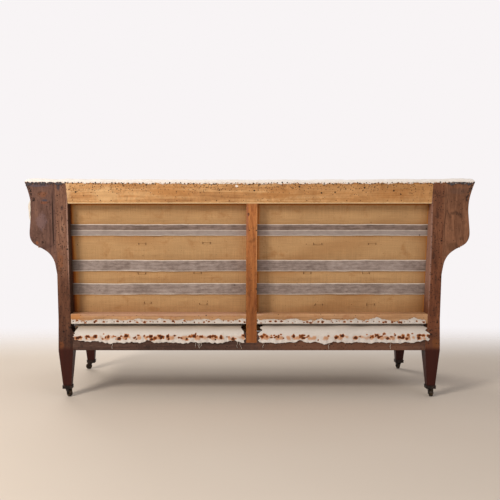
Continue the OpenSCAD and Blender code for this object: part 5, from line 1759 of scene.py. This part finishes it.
    def arm(self, side: int) -> None:
        """One arm pad: rings along the arm from the raked back to the scroll.

        A ring holds the face, the roll over the arm and the lip, as points (x, z) at one depth. The
        roll gets thinner toward the scroll, by a tenth of the sixth power of the share of the way.

        Args:
            side: of the sofa.
        """
        low, high, top = self.arm_low, self.arm_high, LINES.arm
        back, side_x = self.arm_in - CLOTH_ROOM, self.side_in - CLOTH_ROOM
        y_back = float(LINES.inner(LINES.knee)) - self.back_room
        depths = [y_back, *(blend(y_back, self.wing_nose, s) for s in (0.35, 0.7, 1)),
                  *(blend(self.wing_nose, self.stump_y + GAP, s) for s in (0.02, 0.1, 0.4, 0.7, 1))]
        outer, inner = [], []
        for number, y in enumerate(depths):
            # The first four rings run beside the wing, and the lip turns down over the arm after the fifth.
            front = number > 3
            along = max(0.0, (self.wing_nose - y) / (self.wing_nose - self.stump_y))
            roll = self.arm_roll * (1 - 0.1 * along ** 6)
            lip = self.arm_out + GAP if front else self.wing_in - 2 * CLOTH_ROOM
            lip_z = top - 0.016 if number > 4 else top + 0.0006
            face = self.face_of_arm()
            face[:, 0] += 0.28 * self.arm_t * along ** 6
            path = np.concatenate([face, [
                (blend(back, lip, 0.25), top + roll * 0.95), (blend(back, lip, 0.55), top + roll),
                (blend(back, lip, 0.85), top + roll * 0.8),
                (lip + self.calico_t * (3.8 if front else 0.7), top + roll * 0.3),
                (lip + self.calico_t * (2.4 if front else 1), lip_z)]])
            under = np.array([
                (side_x, low), (side_x, LINES.knee), (side_x, LINES.stay),
                ((side_x + back) / 2, (LINES.stay + high) / 2), (back, high), (back, (high + top) / 2),
                (back, top + GAP), *((blend(back, lip, s), top + GAP) for s in (0.2, 0.5, 0.8)),
                (lip - GAP, top + GAP), (lip, lip_z)])
            for chain, points in ((outer, path), (inner, under)):
                depth = LINES.inner(points[:, 1]) - self.back_room if number == 0 else y
                chain.append(joined(points[:, 0], depth, points[:, 1]))
        outer, inner = cut_net(np.stack(outer), 54, 76, 2, 1), cut_net(np.stack(inner), 54, 76, 0, 1)
        lumps = 0.0016 * ripple([outer[..., 1], outer[..., 2]], 0.15, 230 + side)
        self.side_pad("arm", side, outer, inner, lumps * ease(-outer[..., 0], -0.915, -0.885), 0.0035)

    def wing_height(self, y: Array) -> Array:
        """Height of the wing's edge: half a cosine from the top at the back to the arm at its nose."""
        return LINES.arm + (LINES.top - LINES.arm) * (0.5 + 0.5 * np.cos(np.pi * (self.wing_y0 - y) / self.wing_run))

    def wing(self, side: int) -> None:
        """One wing pad: a leaf against the board, rolled over its curved edge.

        A ring's height is a share of the way from the arm to the wing's edge. It leans outward by
        the tilt's tangent, and its depth turns from the raked back to upright over a few stations.

        Args:
            side: of the sofa.
        """
        i = np.linspace(0, 9, 46)
        step = self.wing_run / self.wing_steps
        y_edge = self.wing_y0 - step * i
        top = LINES.arm + (self.wing_height(y_edge) - LINES.arm) * math.cos(self.tilt)
        low = np.minimum(LINES.arm_top + GAP, top - GAP)
        back = self.wing_in - CLOTH_ROOM
        outside = self.wing_in + self.wing_board / math.cos(self.tilt) + GAP
        skirt = np.minimum(self.wing_board_d / 2, (top - LINES.arm) / 2)
        t, roll = self.wing_t, self.wing_roll
        flat = [(back - t * 0.6, low), (back - t, blend(low, top, 0.25)), (back - t, blend(low, top, 0.5)),
                (back - t * 0.95, blend(low, top, 0.78)), (back - t * 0.55, blend(low, top, 0.97) + roll * 0.5),
                (back, top + roll * 0.95), (blend(back, outside, 0.6), top + roll),
                (outside + roll * 0.6, top + roll * 0.3), (outside + roll * 0.75, top - skirt)]
        under = [*((back, blend(low, top, share)) for share in (0, 0.25, 0.5, 0.75, 0.94)), (back, top + GAP),
                 (blend(back, outside, 0.5), top + GAP), (outside, top + GAP), (outside, top - skirt)]
        straight = self.wing_y0 - step * np.maximum(i, self.wing_bend)

        def net(points: list[tuple[float, Array]]) -> Array:
            """Rings along the wing, leaned outward, each point at the depth of its station.

            Args:
                points: x and heights of the rings.

            Returns:
                (stations, rings, 3) points.
            """
            return np.stack([joined(
                x + (z - LINES.arm) * math.tan(self.tilt),
                np.minimum(y_edge, blend(LINES.inner(z) - GAP, straight, np.minimum(1, i / self.wing_bend))), z)
                for x, z in points], 1)
        outer, inner = cut_net(net(flat), 40, 46, 2, 1), cut_net(net(under), 40, 46, 0, 1)
        lumps = 0.0012 * ripple([outer[..., 1], outer[..., 2]], 0.12, 240 + side)
        self.side_pad("wing", side, outer, inner, lumps, 0.006)

    def side_cloth(self, side: int) -> None:
        """The hessian behind one arm and one wing.

        Behind the arm, x follows the rails by height and y runs from the stump to the back. Behind
        the wing, it leans outward by the tilt's tangent and ends below the wing's curved edge.

        Args:
            side: of the sofa.
        """
        name, t = SIDES[side < 0], self.hessian_t
        profile = np.array([(self.side_in - GAP, self.arm_low), (self.side_in - GAP, LINES.stay),
                            (self.arm_in - GAP, self.arm_high), (self.arm_in - GAP, LINES.arm - GAP)])
        share, z = grid((0, 1, 100), (profile[0, 1], profile[-1, 1], 70))
        x = np.interp(z, profile[:, 1], profile[:, 0]) - t / 2
        y = blend(self.stump_y + GAP, LINES.inner(z) - 0.0035, share)
        open_part = np.sin(np.pi * share) * np.sin(np.pi * np.clip((z - 0.375) / 0.27, 0, 1))
        x = x + 0.0020 * np.abs(ripple([y, z], 0.12, 250 + side)) * open_part
        lay(f"side_hessian_{name}_arm", joined(side * x, y, z), HESSIAN, t - 0.0002, "hessian",
            f"side_hessian_{name}", flat=(0.54, 0.38), rests_on=[f"arm_rail_{name}", f"side_stay_rail_{name}"],
            cloth_map=joined(y, z))
        s, v = grid((0, 1, 60), (0, 1, 50))
        z = blend(LINES.arm, LINES.top, v)
        # The depth hangs on the height and the height on the depth, so each is settled in turn.
        for _ in range(6):
            y = blend(self.wing_nose, LINES.inner(z) - GAP, s)
            z = blend(LINES.arm + GAP, self.wing_height(y) - self.wing_board_d / 4, v)
        x = self.wing_in - GAP - t / 2 + (z - LINES.arm) * math.tan(self.tilt) - 0.0004
        lay(f"side_hessian_{name}_wing", joined(side * x, y, z), HESSIAN, t - 0.0002, "hessian", flat=(0.28, 0.24),
            area=0.035, rests_on=[f"wing_rail_{name}", f"wing_post_{name}"], cloth_map=joined(y, z))

    def outside_strip(self) -> None:
        """What is left of the left wing's outside cover: a calico strip bowed by a sine of both its shares."""
        s, v = grid((0, 1, 16), (0, 1, 60))
        z = blend(0.716, 0.905, v)
        bow = np.sin(np.pi * v) ** 0.7
        x = 0.940 + (z - LINES.arm) * math.tan(self.tilt) * 0.5 + 0.026 * bow * np.sin(np.pi * (0.25 + 0.6 * s))
        x = x + 0.0015 * ripple([z, s * 0.05], 0.05, 260)
        y = blend(0.262, LINES.inner(z) - 0.003, s)
        lay("wing_outside_strip", joined(x, y, z), CALICO, 0.0010, "calico", flat=(0.19, 0.05),
            rests_on=["wing_rail_left", "ear_block_left"])

    def build(self) -> None:
        """Builds every pad and the side hessian."""
        self.seat()
        self.inside_back()
        self.outside_strip()
        for side in (1, -1):
            self.arm(side)
            self.wing(side)
            self.side_cloth(side)


@dataclass
class LooseThreads:
    """Frayed threads left where covers were pulled off."""

    thread_r: float = 0.0005
    anchors: tuple[tuple[float, float], ...] = (
        (0.226, 0.244), (0.214, 0.240), (0.235, 0.241), (0.206, 0.243), (0.052, 0.245), (0.045, 0.243),
        (-0.061, 0.24), (-0.35, 0.238), (0.60, 0.236), (-0.62, 0.238), (0.033, 0.262))

    def build(self) -> None:
        """Threads that hang from their anchors: z falls by length * t ** 1.3 and x sways by a sine."""
        rng = np.random.default_rng(300)
        places = np.array(self.anchors)
        t = np.linspace(0, 1, 14)
        length = rng.uniform(0.014, 0.034, (len(places), 1))
        lean = rng.normal(0, 0.006, (len(places), 1))
        x = places[:, :1] + lean * t + 0.0015 * np.sin(t * 9 + lean * 900)
        y = LINES.rear_low + 0.003 + 0.0015 * np.sin(np.pi * t)
        z = places[:, 1:] - length * t ** 1.3
        tubes("loose_threads", joined(x, y, z), self.thread_r, 5, COTTON, "calico")


@dataclass(frozen=True)
class Lamp:
    """One square soft lamp: where it stands, what it faces, its side, its power in watts and its colour."""

    name: str
    place: tuple[float, float, float]
    aim: tuple[float, float, float]
    size: float
    power: float
    colour: str

    def build(self) -> None:
        """Stands the lamp up, turned so that its face looks at its aim."""
        light = bpy.data.lights.new(self.name, "AREA")
        light.shape, light.size, light.energy = "SQUARE", self.size, self.power
        light.color = paint(self.colour)[:3]
        lamp = stood(self.name, light)
        lamp.location = self.place
        way = np.array(self.aim) - np.array(self.place)
        flat = math.hypot(way[0], way[1])
        lamp.rotation_euler = (math.atan2(flat, -way[2]), 0, math.atan2(way[1], way[0]) - math.pi / 2)


@dataclass
class Studio:
    """Pale floor, soft lamps and the camera behind the sofa."""

    camera_at: tuple[float, float, float] = (0.115, 3.639, 0.788)
    lens: float = 54.87
    shift: tuple[float, float] = (0.054, -0.065)
    reach: float = 9.0
    lamps: tuple[Lamp, ...] = (
        Lamp("window", (2.7, 3.3, 2.7), (0, 0.25, 0.5), 1.1, 124, "fff6ea"),
        Lamp("fill_behind", (-2.4, 3.6, 2.2), (0, 0.2, 0.5), 2.6, 18, "f4f4ff"),
        Lamp("front_soft", (1.8, -3.6, 2.6), (0, -0.1, 0.5), 2.6, 95, "fff8f0"))

    def floor(self) -> None:
        """A pale floor that fades into the background: its alpha falls with the distance from the sofa."""
        g = Graph("studio_floor")
        at = g.place()
        cloud = g.noise(at, 1.2, 2, 0.5)
        x, y, _ = g.parts(at)
        away = g.maths("SQRT", x * x * 0.16 + (y - 1.2) * (y - 1.2))
        colour = g.mix("d3c8bc", "d9cfc4", cloud)
        material = g.finish({"Base Color": colour, "Roughness": 0.9, "Specular IOR Level": 0.05,
                             "Alpha": away.ease(3.2, 1.75)})
        corners = self.reach * np.array([(-1, -1, 0), (1, -1, 0), (1, 1, 0), (-1, 1, 0)])
        new_piece("studio_floor", corners, [np.array([[0, 1, 2, 3]])], material)

    def world(self) -> None:
        """Even light all round, with a white background that camera, glossy and clear rays see."""
        g = Graph("studio", "worlds")
        bpy.context.scene.world = g.owner
        path = g.node("LightPath")
        rays = [Sock(g, path.outputs[f"Is {kind} Ray"]) for kind in ("Camera", "Glossy", "Transmission")]
        seen = rays[0].over(rays[1]).over(rays[2])
        ambient, shown = (g.value("Background", None, {0: colour, 1: strength})
                          for colour, strength in (("fbf6f2", 0.54), ("f8f4f5", 1.0)))
        g.node("OutputWorld", None, {0: g.value("MixShader", None, {0: seen, 1: ambient, 2: shown})})

    def camera(self) -> None:
        """The camera, level and square to the sofa's back."""
        data = bpy.data.cameras.new("camera")
        data.lens, data.sensor_width = self.lens, 36.0
        data.shift_x, data.shift_y = self.shift
        camera = stood("camera", data)
        camera.location = self.camera_at
        camera.rotation_euler = (math.pi / 2, 0, math.pi)
        bpy.context.scene.camera = camera

    def build(self) -> None:
        """Builds the floor, lamps, world and camera."""
        self.floor()
        for lamp in self.lamps:
            lamp.build()
        self.world()
        self.camera()
        bpy.context.scene.view_settings.view_transform = "Standard"


def main() -> None:
    """Builds the studio and the sofa's dress, piece by piece."""
    logging.basicConfig(level=logging.INFO, format="%(name)s: %(message)s")
    for part in (Studio(), Woodwork(), Casters(), BackCloth(), TackedCalico(), TopEdge(), SeatDeck(),
                 Stuffing(), LooseThreads()):
        LOG.info("building %s", type(part).__name__)
        part.build()


if __name__ == "__main__":
    main()
